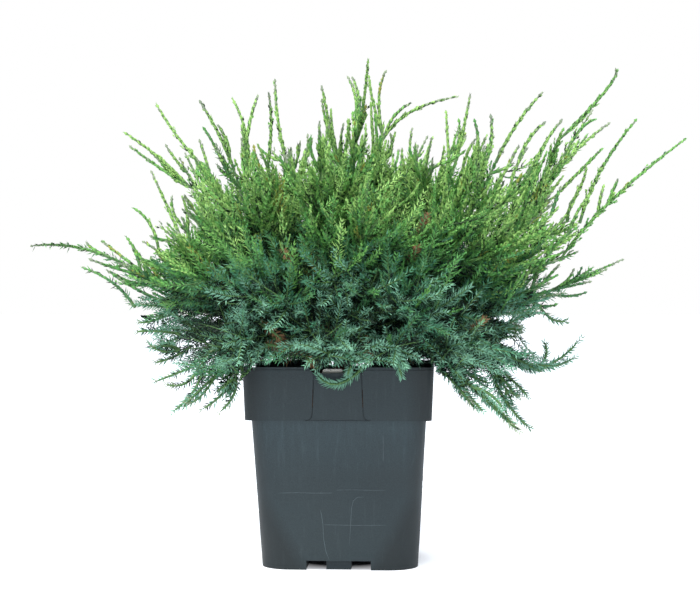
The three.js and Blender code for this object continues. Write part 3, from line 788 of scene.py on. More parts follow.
class Cane:
    """A curve with its marks, for going along it by its length."""

    marks = np.linspace(0, 1, 201)

    def __init__(self, controls):
        self.controls = np.array(controls, float)
        steps = np.diff(bezier(self.controls, self.marks), axis=0)
        self.tape = np.concatenate([[0], np.cumsum(span(steps))])
        self.length = self.tape[-1]

    def place(self, share):
        return np.interp(np.asarray(share) * self.length, self.tape, self.marks)

    def at(self, share):
        return bezier(self.controls, self.place(share))

    def along(self, share):
        return heading(self.controls, self.place(share))

    def frames(self, steps):
        """The heading and two sides at even steps, carried along with no twist."""
        along = self.along(np.linspace(0, 1, steps + 1))
        thinnest = 2 - int(np.argmin(np.abs(along[0])[::-1]))
        across = unit(np.cross(along[0], np.eye(3)[thinnest]))
        normals = [np.cross(along[0], across)]
        for before, after in zip(along, along[1:]):
            axis = np.cross(before, after)
            size = span(axis)
            normal = normals[-1]
            if size > 1e-15:
                axis, angle = axis / size, math.acos(min(1, max(-1, before @ after)))
                normal = (normal * math.cos(angle) + np.cross(axis, normal) * math.sin(angle)
                          + axis * (axis @ normal) * (1 - math.cos(angle)))
            normals.append(normal)
        normals = np.array(normals)
        return along, normals, np.cross(along, normals)


# %% [markdown]
# The CAD draws its random turns from a small generator. The same generator with the same seeds
# gives the same plant, so it is written out here too.

# %% The seeded generator
def seeded(seed):
    state, whole = seed, 0xFFFFFFFF

    def draw():
        nonlocal state
        state = (state + 0x6D2B79F5) & whole
        mixed = ((state ^ (state >> 15)) * (state | 1)) & whole
        mixed ^= (mixed + (((mixed ^ (mixed >> 7)) * (mixed | 61)) & whole)) & whole
        return ((mixed ^ (mixed >> 14)) & whole) / (whole + 1)

    return draw


# %% Sizes of the shrub, as in the CAD
TRUNK = {"radii": (12.5, 5.4), "tip_height": 341, "lean": 5, "flare": 1.45}
BOUGH_RADII = (3.7, 2.4)
CROWN_CENTRE = np.array([0, 0, 267.0])
GAP = 0.3
LEADERS = {"count": 8, "ranks": (0, 2, 1, 3), "along": (0.03, 0.6), "root_radius": 1.5,
           "spreads_deg": (50, 44, 38, 32, 26, 20), "sizes": (0.5, 0.92)}
NODE_SPACING, CROWDING, TWIST_DEG, TIP_RADIUS = 23, 1.22, 9, 1.1
SPRAY = {"angle_deg": 31, "angle_range_deg": 8, "tip_angle": 0.72, "length": 68,
         "length_range": 20, "tip_length": 0.2, "clearance": 4}
WEDGE_MARGIN, LIMB_CLEARANCE, POT_CLEARANCE, BARE_SHARE = 0.8, 1.6, 3, 0.1
UP = np.array([0, 0, 1.0])
# name: plan angle, rise, reach, bow, hub, seed
MASSES = {
    "right_long": (-5.5, 31, 500, 0.05, 88, 13), "right_high": (15, 44, 517, -0.05, 88, 43),
    "right_arm": (-14, 17, 369, 0.03, 92, 30), "right_low": (16, 12, 328, 0.05, 104, 3),
    "right_lower": (3, -1, 299, 0.06, 128, 32), "right_drooping": (-12, -24, 254, 0.2, 134, 13),
    "right_shoulder": (-36, 45, 417, 0.05, 84, 52), "top_right": (42, 56, 404, 0.02, 84, 33),
    "top_whip": (-16, 65, 342, 0.16, 78, 32), "top": (-30, 85, 359, 0, 78, 49),
    "top_left": (130, 66, 382, 0.02, 84, 43), "left_shoulder": (-128, 50, 373, 0.03, 78, 56),
    "left_high": (164, 48, 406, 0.04, 88, 43), "left_middle": (-168, 33, 326, 0.05, 92, 57),
    "left_long": (177, 18, 411, 0.11, 96, 13), "left_low": (-170, 3, 258, 0.06, 118, 7),
    "left_drooping": (-158, -19, 233, 0.16, 136, 46),
    "front_left_drooping": (-128, -17, 222, 0.16, 140, 5),
    "front_right_drooping": (-46, -17, 244, 0.16, 140, 43),
    "front_left_low": (-115, 20, 268, 0.05, 72, 7),
    "front_right_low": (-64, 14, 268, 0.05, 72, 28),
    "front_middle_low": (-91, -2, 222, 0.08, 92, 28), "front_top": (-100, 68, 334, 0.02, 72, 19),
    "front_right_high": (-80, 38, 322, 0.05, 72, 10), "back_right_low": (66, 8, 330, 0.07, 100, 44),
    "back_left_low": (122, 7, 325, 0.07, 100, 43), "back_right_high": (79, 35, 366, 0.05, 88, 41),
    "back_left_high": (128, 35, 358, 0.05, 88, 26),
}
missing = [name for name in MASSES if "foliage_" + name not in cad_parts]
print(len(MASSES), "masses, missing in the CAD:", missing)


# %% [markdown]
# Boughs leave the trunk in the order of their rise, the low ones near the mix. Each bends out
# towards its mass. The main shoot of a mass starts 0.3 mm beyond its bough's tip, and that of the
# topmost mass beyond the trunk's.

# %% Trunk axis, boughs and main shoots
def direction(azimuth_deg, rise_deg):
    azimuth, rise = math.radians(azimuth_deg), math.radians(rise_deg)
    return np.array([math.cos(rise) * math.cos(azimuth), math.cos(rise) * math.sin(azimuth),
                     math.sin(rise)])


def trunk_axis(height):
    share = (height - SOIL_HEIGHT) / (TRUNK["tip_height"] - SOIL_HEIGHT)
    return np.array([TRUNK["lean"] * share * share, -TRUNK["lean"] * 0.6 * share, height])


def bough_cane(name, order):
    azimuth, rise, _, _, hub, _ = MASSES[name]
    height = mix(SOIL_HEIGHT + 16, TRUNK["tip_height"] - 12, order / (len(MASSES) - 2))
    start = trunk_axis(height)
    end = CROWN_CENTRE + direction(azimuth, max(rise, mix(rise, 2, 0.9))) * hub
    out = direction(azimuth, max(rise, 8))
    return Cane(bent(start, start + out * span(end - start) * 0.5, end))


def main_shoot(name, start, along):
    azimuth, rise, reach, bow, _, _ = MASSES[name]
    tip = CROWN_CENTRE + direction(azimuth, rise) * reach
    length = span(tip - start)
    second = mix(start, tip, 2 / 3) + UP * (1.5 * bow * length)
    return Cane([start, start + along * length / 3, second, tip])


by_rise = sorted(MASSES, key=lambda name: MASSES[name][1])
boughs = {name: bough_cane(name, order) for order, name in enumerate(by_rise[:-1])}
stems = {}
for name in MASSES:
    if name in boughs:
        along = boughs[name].along(1.0)
        stems[name] = main_shoot(name, boughs[name].at(1.0) + along * GAP, along)
    else:
        stems[name] = main_shoot(name, trunk_axis(TRUNK["tip_height"]) + UP * GAP, UP)
print("longest main shoot", round(max(stem.length for stem in stems.values())), "mm")


# %% [markdown]
# Each mass keeps to its own wedge of the crown: the points that lie nearer to its direction than
# to any other mass's. No twig enters the pot's wall or a limb.

# %% The space that a mass may fill
def bough_radius(share):
    return mix(*BOUGH_RADII, share)


shares, trunk_shares = np.linspace(0, 1, 41), np.linspace(0, 1, 21)
trunk_places = [trunk_axis(mix(SOIL_HEIGHT, TRUNK["tip_height"], s)) for s in trunk_shares]
limb_places = np.concatenate([cane.at(shares) for cane in boughs.values()] + [trunk_places])
limb_keeps = np.concatenate([bough_radius(shares) + LIMB_CLEARANCE] * len(boughs)
                            + [mix(*TRUNK["radii"], trunk_shares) + 1])


def outside_pot(points):
    half = RIM_HALF + POT_CLEARANCE
    return ((points[:, 2] > RIM_HEIGHT + POT_CLEARANCE) | (abs(points[:, 0]) > half)
            | (abs(points[:, 1]) > half))


def space_of(name):
    """A test for arrays of points: which of them lie in the mass's own space."""
    own = direction(*MASSES[name][:2])
    walls = unit(np.array([own - direction(*MASSES[other][:2]) for other in MASSES
                           if other != name]))

    def inside(points):
        in_wedge = ((points - CROWN_CENTRE) @ walls.T > WEDGE_MARGIN).all(-1)
        apart = ((points[:, None] - limb_places) ** 2).sum(-1) > limb_keeps ** 2
        return in_wedge & outside_pot(points) & apart.all(-1)

    return inside


# %% [markdown]
# A shoot has a node every 23 mm, closer towards its tip. A node bears a pair of sprays, square
# to the pair before it. A spray is as long as it can be without leaving the wedge or coming
# close to a neighbour, and the sprays get shorter and closer to the shoot towards its tip.

# %% Nodes, leaders and sprays, as in the CAD
def shoot_nodes(cane, root_radius):
    steps = max(3, math.floor(cane.length / NODE_SPACING + 0.5))
    along, normals, binormals = cane.frames(steps)
    nodes = []
    for k in range(steps):
        share = 1 - (1 - k / steps) ** CROWDING
        turns = np.radians(90 * np.arange(4) + TWIST_DEG * k)[:, None]
        sides = normals[k] * np.cos(turns) + binormals[k] * np.sin(turns)
        nodes.append({"share": share, "sides": sides, "at": cane.at(share), "along": along[k],
                      "radius": mix(root_radius, TIP_RADIUS, share)})
    return nodes


def leader_cane(node, aside, spread_deg, length):
    angle = math.radians(spread_deg)
    out = node["along"] * math.cos(angle) + aside * math.sin(angle)
    end = node["at"] + out * length * 0.55 + node["along"] * length * 0.43
    end[2] += length * 0.05
    return Cane(bent(node["at"], node["at"] + out * length * 0.5, end))


def grow_leaders(nodes, stem_length, inside, random):
    leaders = []
    for k in range(LEADERS["count"]):
        share = mix(*LEADERS["along"], k / (LEADERS["count"] - 1))
        node = nodes[max(1, math.floor(share * len(nodes) + 0.5))]
        rank = LEADERS["ranks"][k % 4]
        aside = unit(node["sides"][rank] + node["sides"][(rank + 1) % 4])
        length = stem_length * (1 - node["share"]) * mix(*LEADERS["sizes"], random())
        for spread in LEADERS["spreads_deg"]:
            tried = leader_cane(node, aside, spread, length)
            if inside(bezier(tried.controls, np.arange(1, 9) / 8)).all():
                leaders.append(tried)
                break
    return leaders


def nearest_gap(points, starts, ends):
    """The distance from each point to the nearest of many straight lines."""
    run = ends - starts
    share = ((points[:, None] - starts) * run).sum(-1) / (run * run).sum(-1)
    nearest = starts + np.clip(share, 0, 1)[..., None] * run
    return span(points[:, None] - nearest).min(1)


def spray_tip(root, along, side, share, fits, random):
    length = mix(1.1, SPRAY["tip_length"], share) * (
        SPRAY["length"] + SPRAY["length_range"] * (random() - 0.5))
    angle = mix(1, SPRAY["tip_angle"], share) * math.radians(
        SPRAY["angle_deg"] + SPRAY["angle_range_deg"] * (2 * random() - 1))
    out = along * math.cos(angle) + side * math.sin(angle)
    for part in (1, 0.8, 0.6, 0.4):
        tip = root + out * length * part
        points = [mix(root, tip, step) for step in (0.35, 0.6, 0.8, 1)]
        points += [mix(root + along * step, tip, 0.5) for step in (-NODE_SPACING, NODE_SPACING)]
        if fits(np.array(points)):
            return tip
    return None


FAR_AWAY = (np.full((1, 3), 1e6), np.full((1, 3), 1e6 + 1))


def grow_sprays(shoots, inside, random):
    """The sprays of a mass as rows of root, tip, side, share along the shoot, and the shoot."""
    spines = [np.array([node["at"] for node in nodes] + [cane.at(1.0)]) for cane, nodes in shoots]
    sprays = []
    for own, (cane, nodes) in enumerate(shoots):
        runs = [(spine[:-1], spine[1:]) for k, spine in enumerate(spines) if k != own]
        runs += [([spray["root"]], [spray["tip"]]) for spray in sprays]
        starts, ends = [np.concatenate(rows) for rows in zip(*(runs or [FAR_AWAY]))]

        def fits(points):
            return (inside(points).all()
                    and (nearest_gap(points, starts, ends) > SPRAY["clearance"]).all())

        for k, node in enumerate(nodes[:-1]):
            if node["share"] <= BARE_SHARE:
                continue
            for side in node["sides"][k % 2::2]:
                root = node["at"] + side * node["radius"]
                tip = spray_tip(root, node["along"], side, node["share"], fits, random)
                if tip is not None:
                    sprays.append({"root": root, "tip": tip, "side": side,
                                   "share": node["share"], "shoot": own})
    return sprays


# %% Grow every mass as far as the CAD does
grown = {}
for name, (*_, seed) in MASSES.items():
    random = seeded(seed)
    inside = space_of(name)
    stem = stems[name]
    shoots = [(stem, shoot_nodes(stem, BOUGH_RADII[1]))]
    for leader in grow_leaders(shoots[0][1], stem.length, inside, random):
        shoots.append((leader, shoot_nodes(leader, LEADERS["root_radius"])))
    grown[name] = (shoots, grow_sprays(shoots, inside, random), inside)
print("main shoots", sum(len(g[0]) for g in grown.values()),
      "sprays", sum(len(g[1]) for g in grown.values()))
outside_box = []
for name, (shoots, sprays, _) in grown.items():
    low, high = np.array(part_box("foliage_" + name)) / MM
    tips = np.array([s["tip"] for s in sprays] + [cane.at(1.0) for cane, _ in shoots])
    outside_box.append(max((low - tips).max(), (tips - high).max()))
print("furthest tip outside its CAD solid's box, mm:", round(max(outside_box), 2))

# %% [markdown]
# ## The photo's skyline
#
# The photo shows where the crown is a closed mass and where the sky is open between its whips.
# That skyline is read off the photo, clockwise from the pot's left corner, and so are four
# gaps in the low foliage on the left where sky shows. A fine twig that would cross the skyline is
# made shorter, and past it a main shoot goes on only as a slim spike. The camera's place turns a
# point of the plant into a pixel, and a pixel with a depth back into a point.

# %% Where things fall in the photo
SKYLINE_PX = (
    (243, 372), (238, 390), (226, 392), (212, 396), (200, 390), (186, 380), (188, 370), (166, 360),
    (160, 350), (150, 337), (148, 325), (138, 314), (128, 300), (114, 283), (114, 276), (136, 272),
    (140, 262), (152, 256), (161, 246), (180, 240), (186, 228), (198, 226), (200, 212), (197, 200),
    (184, 188), (170, 176), (168, 166), (184, 167), (198, 173), (198, 158), (210, 170), (226, 186),
    (226, 162), (233, 162), (239, 170), (243, 146), (248, 137), (253, 147), (259, 165), (267, 146),
    (273, 158), (278, 178), (283, 163), (291, 156), (299, 176), (303, 156), (313, 157), (319, 141),
    (325, 146), (331, 128), (338, 140), (348, 121), (357, 104), (368, 117), (376, 114), (386, 134),
    (391, 162), (401, 168), (411, 147), (420, 148), (427, 166), (438, 176), (443, 149), (450, 138),
    (460, 141), (466, 154), (478, 143), (486, 163), (492, 147), (500, 150), (502, 194), (514, 174),
    (521, 176), (528, 157), (540, 154), (562, 129), (576, 121), (574, 138), (578, 144), (563, 168),
    (570, 174), (558, 187), (545, 197), (548, 216), (555, 233), (561, 222), (567, 228), (578, 204),
    (586, 212), (584, 226), (560, 256), (535, 281), (530, 292), (548, 291), (557, 297), (540, 308),
    (528, 323), (520, 322), (519, 307), (499, 310), (486, 321), (514, 323), (508, 334), (488, 343),
    (520, 354), (534, 346), (550, 361), (530, 374), (511, 371), (512, 390), (508, 410), (494, 403),
    (486, 409), (468, 401), (440, 373), (437, 599), (243, 599),
)
SKY_GAPS_PX = (
    ((185, 309), (198, 305), (224, 312), (235, 324), (218, 325), (197, 321)),
    ((190, 346), (203, 337), (219, 340), (227, 349), (212, 356), (197, 355)),
    ((207, 333), (220, 329), (227, 334), (214, 338)),
    ((176, 342), (184, 336), (187, 345), (180, 352)),
)
CROWN_MIDDLE_PX = (345, 290)
ANYWHERE_PX = 1000
CAD_BOX = np.array([cad_low, cad_high]) / MM
turn = math.radians(CAMERA["turn_deg"])
RIGHT = np.array([math.cos(turn), math.sin(turn), 0])
AHEAD = np.array([-math.sin(turn), math.cos(turn), 0])
EYE = RIGHT * CAMERA["aside"] - AHEAD * CAMERA["distance"] + UP * CAMERA["height"]


def in_photo(points):
    """Where points in mm fall in the photo, in pixels, and how far ahead they are."""
    away = points - EYE
    depth = away @ AHEAD
    scale = CAMERA["focal_px"] / depth
    return np.stack([PHOTO_WIDTH_PX / 2 + away @ RIGHT * scale,
                     PHOTO_HEIGHT_PX / 2 - away[:, 2] * scale], 1), depth


def ray_at(pixel):
    """The way of a pixel's ray, for each mm of depth from the camera."""
    across = (pixel[0] - PHOTO_WIDTH_PX / 2) / CAMERA["focal_px"]
    up = (PHOTO_HEIGHT_PX / 2 - pixel[1]) / CAMERA["focal_px"]
    return AHEAD + RIGHT * across + UP * up


def from_photo(pixel, depth):
    """The point in mm at a pixel of the photo and a depth from the camera."""
    return EYE + ray_at(pixel) * depth


def in_box(pixel, depth):
    """The depth nearest to the one given at which a pixel's ray is inside the CAD box."""
    ray = ray_at(pixel)
    nearest, furthest = (CAD_BOX[:, 1] - EYE[1]) / ray[1]
    wall = CAD_BOX[int(ray[0] > 0), 0]
    return min(max(depth, nearest), furthest, (wall - EYE[0]) / ray[0])


def in_skyline(points, spill_px):
    """Whether points fall within the skyline, once drawn in towards the crown by a spill."""
    seen, _ = in_photo(points)
    inward = np.array(CROWN_MIDDLE_PX) - seen
    x, y = (seen + unit(inward) * np.minimum(spill_px, span(inward))[:, None]).T
    within = np.zeros(len(x), bool)
    for outline in (SKYLINE_PX, *SKY_GAPS_PX):
        for (x0, y0), (x1, y1) in zip(outline, outline[1:] + outline[:1]):
            if y0 != y1:
                within ^= ((y0 > y) != (y1 > y)) & (x < x0 + (x1 - x0) * (y - y0) / (y1 - y0))
    return within


# %% [markdown]
# ## Finer twigs
#
# The CAD stops at sprays, as broad blades. Here each spray becomes a real side shoot, and the
# room between them is filled by the same rule: an acute angle, a bend back towards the parent,
# shorter towards the tip, and nothing outside the mass's own space.
#
# All twigs of one order are kept as rows of an array, with the points of a cubic curve, a flat
# side, and what they take from their parent.

# %% One order of twigs from the one before
GOLDEN_TURN = math.pi * (3 - math.sqrt(5))


def some_side(controls):
    """A direction square to the root of each curve, to count turns from."""
    return unit(np.cross(heading(controls, 0.0), [0.31, 0.22, 0.93]))


def lengths_of(controls):
    points = bezier(controls[:, None], np.linspace(0, 1, 7)[None])
    return span(np.diff(points, axis=1)).sum(1)


def sprout(parents, sizes, spacing, first, last, chance):
    """Places along parent twigs where they fork: parent, rank, t, point and heading."""
    first, last = [np.broadcast_to(share, sizes.shape) for share in (first, last)]
    room = np.maximum(sizes * (last - first), 0) / spacing
    count = np.floor(room + chance.uniform(0, 1, len(sizes))).astype(int)
    parent = np.repeat(np.arange(len(sizes)), count)
    rank = np.arange(len(parent)) - np.repeat(np.cumsum(count) - count, count)
    share = (rank + chance.uniform(0.15, 0.85, len(rank))) / count[parent]
    t = first[parent] + (last - first)[parent] * share
    return parent, rank, t, bezier(parents[parent], t), heading(parents[parent], t)


def turned_sides(side, along, turn):
    """A parent's side, squared to its heading and turned about it."""
    flat = unit(np.cross(along, side))
    deep = np.cross(flat, along)
    return flat * np.cos(turn)[:, None] + deep * np.sin(turn)[:, None]


def forked(at, along, aside, length, angle_deg, hug):
    """Curves that leave at an angle and bend back along the parent by a share, hug."""
    angle = np.radians(angle_deg)[:, None]
    length = length[:, None]
    out = along * np.cos(angle) + aside * np.sin(angle)
    tip = at + (out * (1 - hug) + along * hug) * length
    return bent(at, at + out * length * 0.5, tip)


def kept_inside(controls, inside, spill_px):
    """Shortens twigs until they lie in a space, and pass the photo's skyline by no more than a
    spill. Also tells which ones are kept at all."""
    root = controls[:, :1]
    part = np.zeros(len(controls))
    spill_px = np.broadcast_to(spill_px, part.shape)
    for size in (1, 0.8, 0.6, 0.4, 0.25):
        left = np.flatnonzero(part == 0)
        tried = root[left] + (controls[left] - root[left]) * size
        fits = inside(tried[:, 3]) & inside(bezier(tried, 0.6))
        fits &= in_skyline(tried[:, 3], spill_px[left])
        fits &= in_skyline(bezier(tried, 0.7), spill_px[left])
        part[left[fits]] = size
    kept = part > 0
    return root[kept] + (controls[kept] - root[kept]) * part[kept, None, None], kept


# %% [markdown]
# The finer twigs also keep out of the room in front of the pot's front face, where the photo
# shows the band almost bare. They hang down only past its corners.

# %% Room for the finer twigs
def clear_of_front(points):
    """Out of the room in front of the pot's band."""
    return ((points[:, 2] > RIM_HEIGHT + 4) | (abs(points[:, 0]) > RIM_HALF + 1)
            | (points[:, 1] > 0))


def off_pot(points):
    return outside_pot(points) & clear_of_front(points)


def above_rim(points):
    return off_pot(points) & (points[:, 2] > RIM_HEIGHT - 5)


# %% [markdown]
# Slim whips fork off the main shoots at a narrow angle. Along a whip the side shoots depend on how
# much whip is still to come: the last 8 cm bears only short ones that hug it, and further in they
# are long and open. The CAD's sprays become side shoots as well.

# %% Whips and side shoots
WHIPLET = {"spacing": 15, "along": (0.15, 0.74), "share": 0.6, "lengths": (34, 115),
           "angle_deg": 21, "range_deg": 6, "hug": 0.35, "rise": 0.07, "spill_px": 16}
SIDE_SHOOT = {"spacing": 6.2, "first": 0.04, "bare_tip": 4, "least": 4.5, "near_share": 0.09,
              "near_mm": 80, "far_share": 0.25, "most": 62, "most_in_sky": 14,
              "angles_deg": (19, 33), "widening_mm": (30, 190), "range_deg": 6, "hug": 0.25,
              "spill_px": 5}
# How full each of these masses is beside the rest. The photo shows gaps of sky in the low ones.
FULLNESS = {"right_arm": 0.8, "right_lower": 0.6, "right_drooping": 0.75, "right_low": 0.9,
            "left_low": 0.6, "left_drooping": 0.55, "back_left_low": 0.8, "right_high": 1.4,
            "right_shoulder": 1.3, "right_long": 1.25, "top_right": 1.2, "left_shoulder": 1.1,
            "left_middle": 1.1}
MAIN_SPILL_PX = (4, 26)
SPRAY_SPILL_PX = 4
IN_SKY_PX = 2


def side_length(to_tip, in_sky):
    """How long a side shoot is at a distance from its parent's tip. In the sky all stay short."""
    near = SIDE_SHOOT["least"] + SIDE_SHOOT["near_share"] * to_tip
    more = SIDE_SHOOT["far_share"] * np.maximum(to_tip - SIDE_SHOOT["near_mm"], 0)
    return np.where(in_sky, np.minimum(near, SIDE_SHOOT["most_in_sky"]),
                    np.minimum(near + more, SIDE_SHOOT["most"]))


def first_part(controls, t):
    """The part of a cubic curve from its root to t."""
    a, b, c, d = controls
    ab, bc, cd = mix(a, b, t), mix(b, c, t), mix(c, d, t)
    abc, bcd = mix(ab, bc, t), mix(bc, cd, t)
    return np.array([a, ab, abc, mix(abc, bcd, t)])


def share_in_skyline(cane, spill_px):
    """How much of a main shoot lies within the skyline and a spill past it."""
    shares = np.linspace(0, 1, 41)
    within = in_skyline(cane.at(shares), spill_px)
    return 1.0 if within.all() else max(shares[np.argmin(within)], 0.25)


def whiplets(mains, main_side, inside, chance, full):
    sizes = lengths_of(mains)
    parent, rank, t, at, along = sprout(mains, sizes, WHIPLET["spacing"] / full,
                                        *WHIPLET["along"], chance)
    to_tip = sizes[parent] * (1 - t)
    length = np.clip(to_tip * WHIPLET["share"], *WHIPLET["lengths"])
    length *= chance.uniform(0.65, 1.1, len(rank))
    aside = turned_sides(main_side[parent], along, rank * GOLDEN_TURN + parent)
    angle = WHIPLET["angle_deg"] + WHIPLET["range_deg"] * chance.uniform(-1, 1, len(rank))
    controls = forked(at, along, aside, length, angle, WHIPLET["hug"])
    controls[:, 3, 2] += WHIPLET["rise"] * length
    spill = WHIPLET["spill_px"] * chance.uniform(0, 1, len(rank))
    controls, kept = kept_inside(controls, inside, spill)
    return controls, aside[kept]


def side_shoots(canes, cane_side, inside, chance, full=1.0):
    """Side shoots along whips and main shoots, with their parent and share along it."""
    size = SIDE_SHOOT
    sizes = lengths_of(canes)
    parent, rank, t, at, along = sprout(canes, sizes, size["spacing"] / full, size["first"],
                                        1 - size["bare_tip"] / sizes, chance)
    to_tip = sizes[parent] * (1 - t)
    in_sky = ~in_skyline(at, IN_SKY_PX)
    length = side_length(to_tip, in_sky) * chance.uniform(0.6, 1.15, len(rank)) * min(full, 1)
    angle = mix(*size["angles_deg"], smooth_step(to_tip, *size["widening_mm"]))
    angle += size["range_deg"] * chance.uniform(-1, 1, len(rank))
    turn = rank * GOLDEN_TURN + chance.normal(0, 0.3, len(rank))
    aside = turned_sides(cane_side[parent], along, turn)
    spill = size["spill_px"] * chance.uniform(0, 1, len(rank))
    controls, kept = kept_inside(forked(at, along, aside, length, angle, size["hug"]), inside,
                                 np.where(in_sky, ANYWHERE_PX, spill))
    return controls, aside[kept], parent[kept], t[kept]


def spray_shoots(shoots, sprays, kept_share, inside, full):
    """The CAD's own sprays as curved side shoots. The last ones of a whip are drawn in."""
    sprays = [spray for spray in sprays if spray["share"] < kept_share[spray["shoot"]]]
    root, tip, side, share, own = [np.array([spray[key] for spray in sprays])
                                   for key in ("root", "tip", "side", "share", "shoot")]
    to_tip = np.array([cane.length for cane, _ in shoots])[own] * (kept_share[own] - share)
    in_sky = ~in_skyline(root, IN_SKY_PX)
    chord = tip - root
    longest = 1.5 * side_length(to_tip, in_sky) * min(full, 1)
    chord *= np.minimum(1, longest / span(chord))[:, None]
    size = span(chord)[:, None]
    bulge = side - chord * (side * chord).sum(1, keepdims=True) / size ** 2
    controls = bent(root, root + chord * 0.5 + bulge * size * 0.12, root + chord)
    controls, kept = kept_inside(controls, inside, np.where(in_sky, ANYWHERE_PX, SPRAY_SPILL_PX))
    return controls, side[kept], own[kept], (share / kept_share[own])[kept]


# %% [markdown]
# Feathery shoots stand off the boughs and the inner part of the main shoots at wide angles, and
# hide the wood. Branchlets along each side shoot, mostly to its two flat sides, make it a small
# feather too.

# %% Inner shoots and branchlets
INNER_SHOOT = {"spacing": 3.8, "first": 0.12, "lengths": (32, 82), "angles_deg": (30, 68),
               "hug": 0.15, "rises": (-0.06, 0.14), "rising_mm": (270, 340), "reach": 215,
               "share": 0.62}
BRANCHLET = {"spacing": 6, "needle_spacing": 15, "first": 0.12, "last": 0.94, "least": 3,
             "share": 0.36, "most": 20, "least_parent": 13, "angle_deg": 27,
             "needle_angle_deg": 40, "range_deg": 7, "hug": 0.3, "spill_px": 5}


def inner_shoots(limbs, inside, chance, reach):
    size = INNER_SHOOT
    parent, rank, _, at, along = sprout(limbs, lengths_of(limbs), size["spacing"], size["first"],
                                        1.0, chance)
    away = span((at - CROWN_CENTRE) * [1, 1, 1.02])
    near = away < np.maximum(size["reach"], size["share"] * reach)
    near &= (away < size["reach"]) | (rank % 2 == 0)
    parent, rank, at, along = parent[near], rank[near], at[near], along[near]
    aside = turned_sides(some_side(limbs)[parent], along, rank * GOLDEN_TURN + parent)
    length = chance.uniform(*size["lengths"], len(rank))
    angle = chance.uniform(*size["angles_deg"], len(rank))
    controls = forked(at, along, aside, length, angle, size["hug"])
    rising = smooth_step(at[:, 2], *size["rising_mm"])
    controls[:, 3, 2] += length * mix(*size["rises"], rising)
    controls, kept = kept_inside(controls, inside, 0)
    return controls, aside[kept]


def branchlets(controls, side, needle, inside, chance):
    size = BRANCHLET
    sizes = lengths_of(controls)
    spacing = np.where(needle, size["needle_spacing"], size["spacing"])
    first = np.where(sizes < size["least_parent"], 1.0, size["first"])
    parent, rank, t, at, along = sprout(controls, sizes, spacing, first, size["last"], chance)
    turn = np.where(rank % 2, math.pi, 0) + chance.normal(0, 0.55, len(rank))
    aside = turned_sides(side[parent], along, turn)
    length = np.minimum(size["least"] + size["share"] * (1 - t) * sizes[parent],
                        size["most"]) * chance.uniform(0.7, 1.2, len(rank))
    angle = np.where(needle[parent], size["needle_angle_deg"], size["angle_deg"])
    angle = angle + size["range_deg"] * chance.uniform(-1, 1, len(rank))
    fine = forked(at, along, aside, length, angle, size["hug"])
    from_sky = ~in_skyline(at, 0)
    kept = inside(fine[:, 3]) & (in_skyline(fine[:, 3], size["spill_px"]) | from_sky)
    return fine[kept], aside[kept], parent[kept]


# %% [markdown]
# Some whips stand out against the sky in the photo. Each is written as where it starts, bends and
# ends in the photo: across and down, three times. It grows from the main shoot that lies nearest
# to that start and points the same way, and it keeps that shoot's own slope towards the camera or
# away from it, so that it looks right from every side. A few of them fork, and a fork starts on
# its own whip, which is the first of its group.
#
# Two more kinds of shoot are placed like this: sprays that hang over the pot's front lip, and
# short dry brown shoots, which stand out a little nearer to the camera.

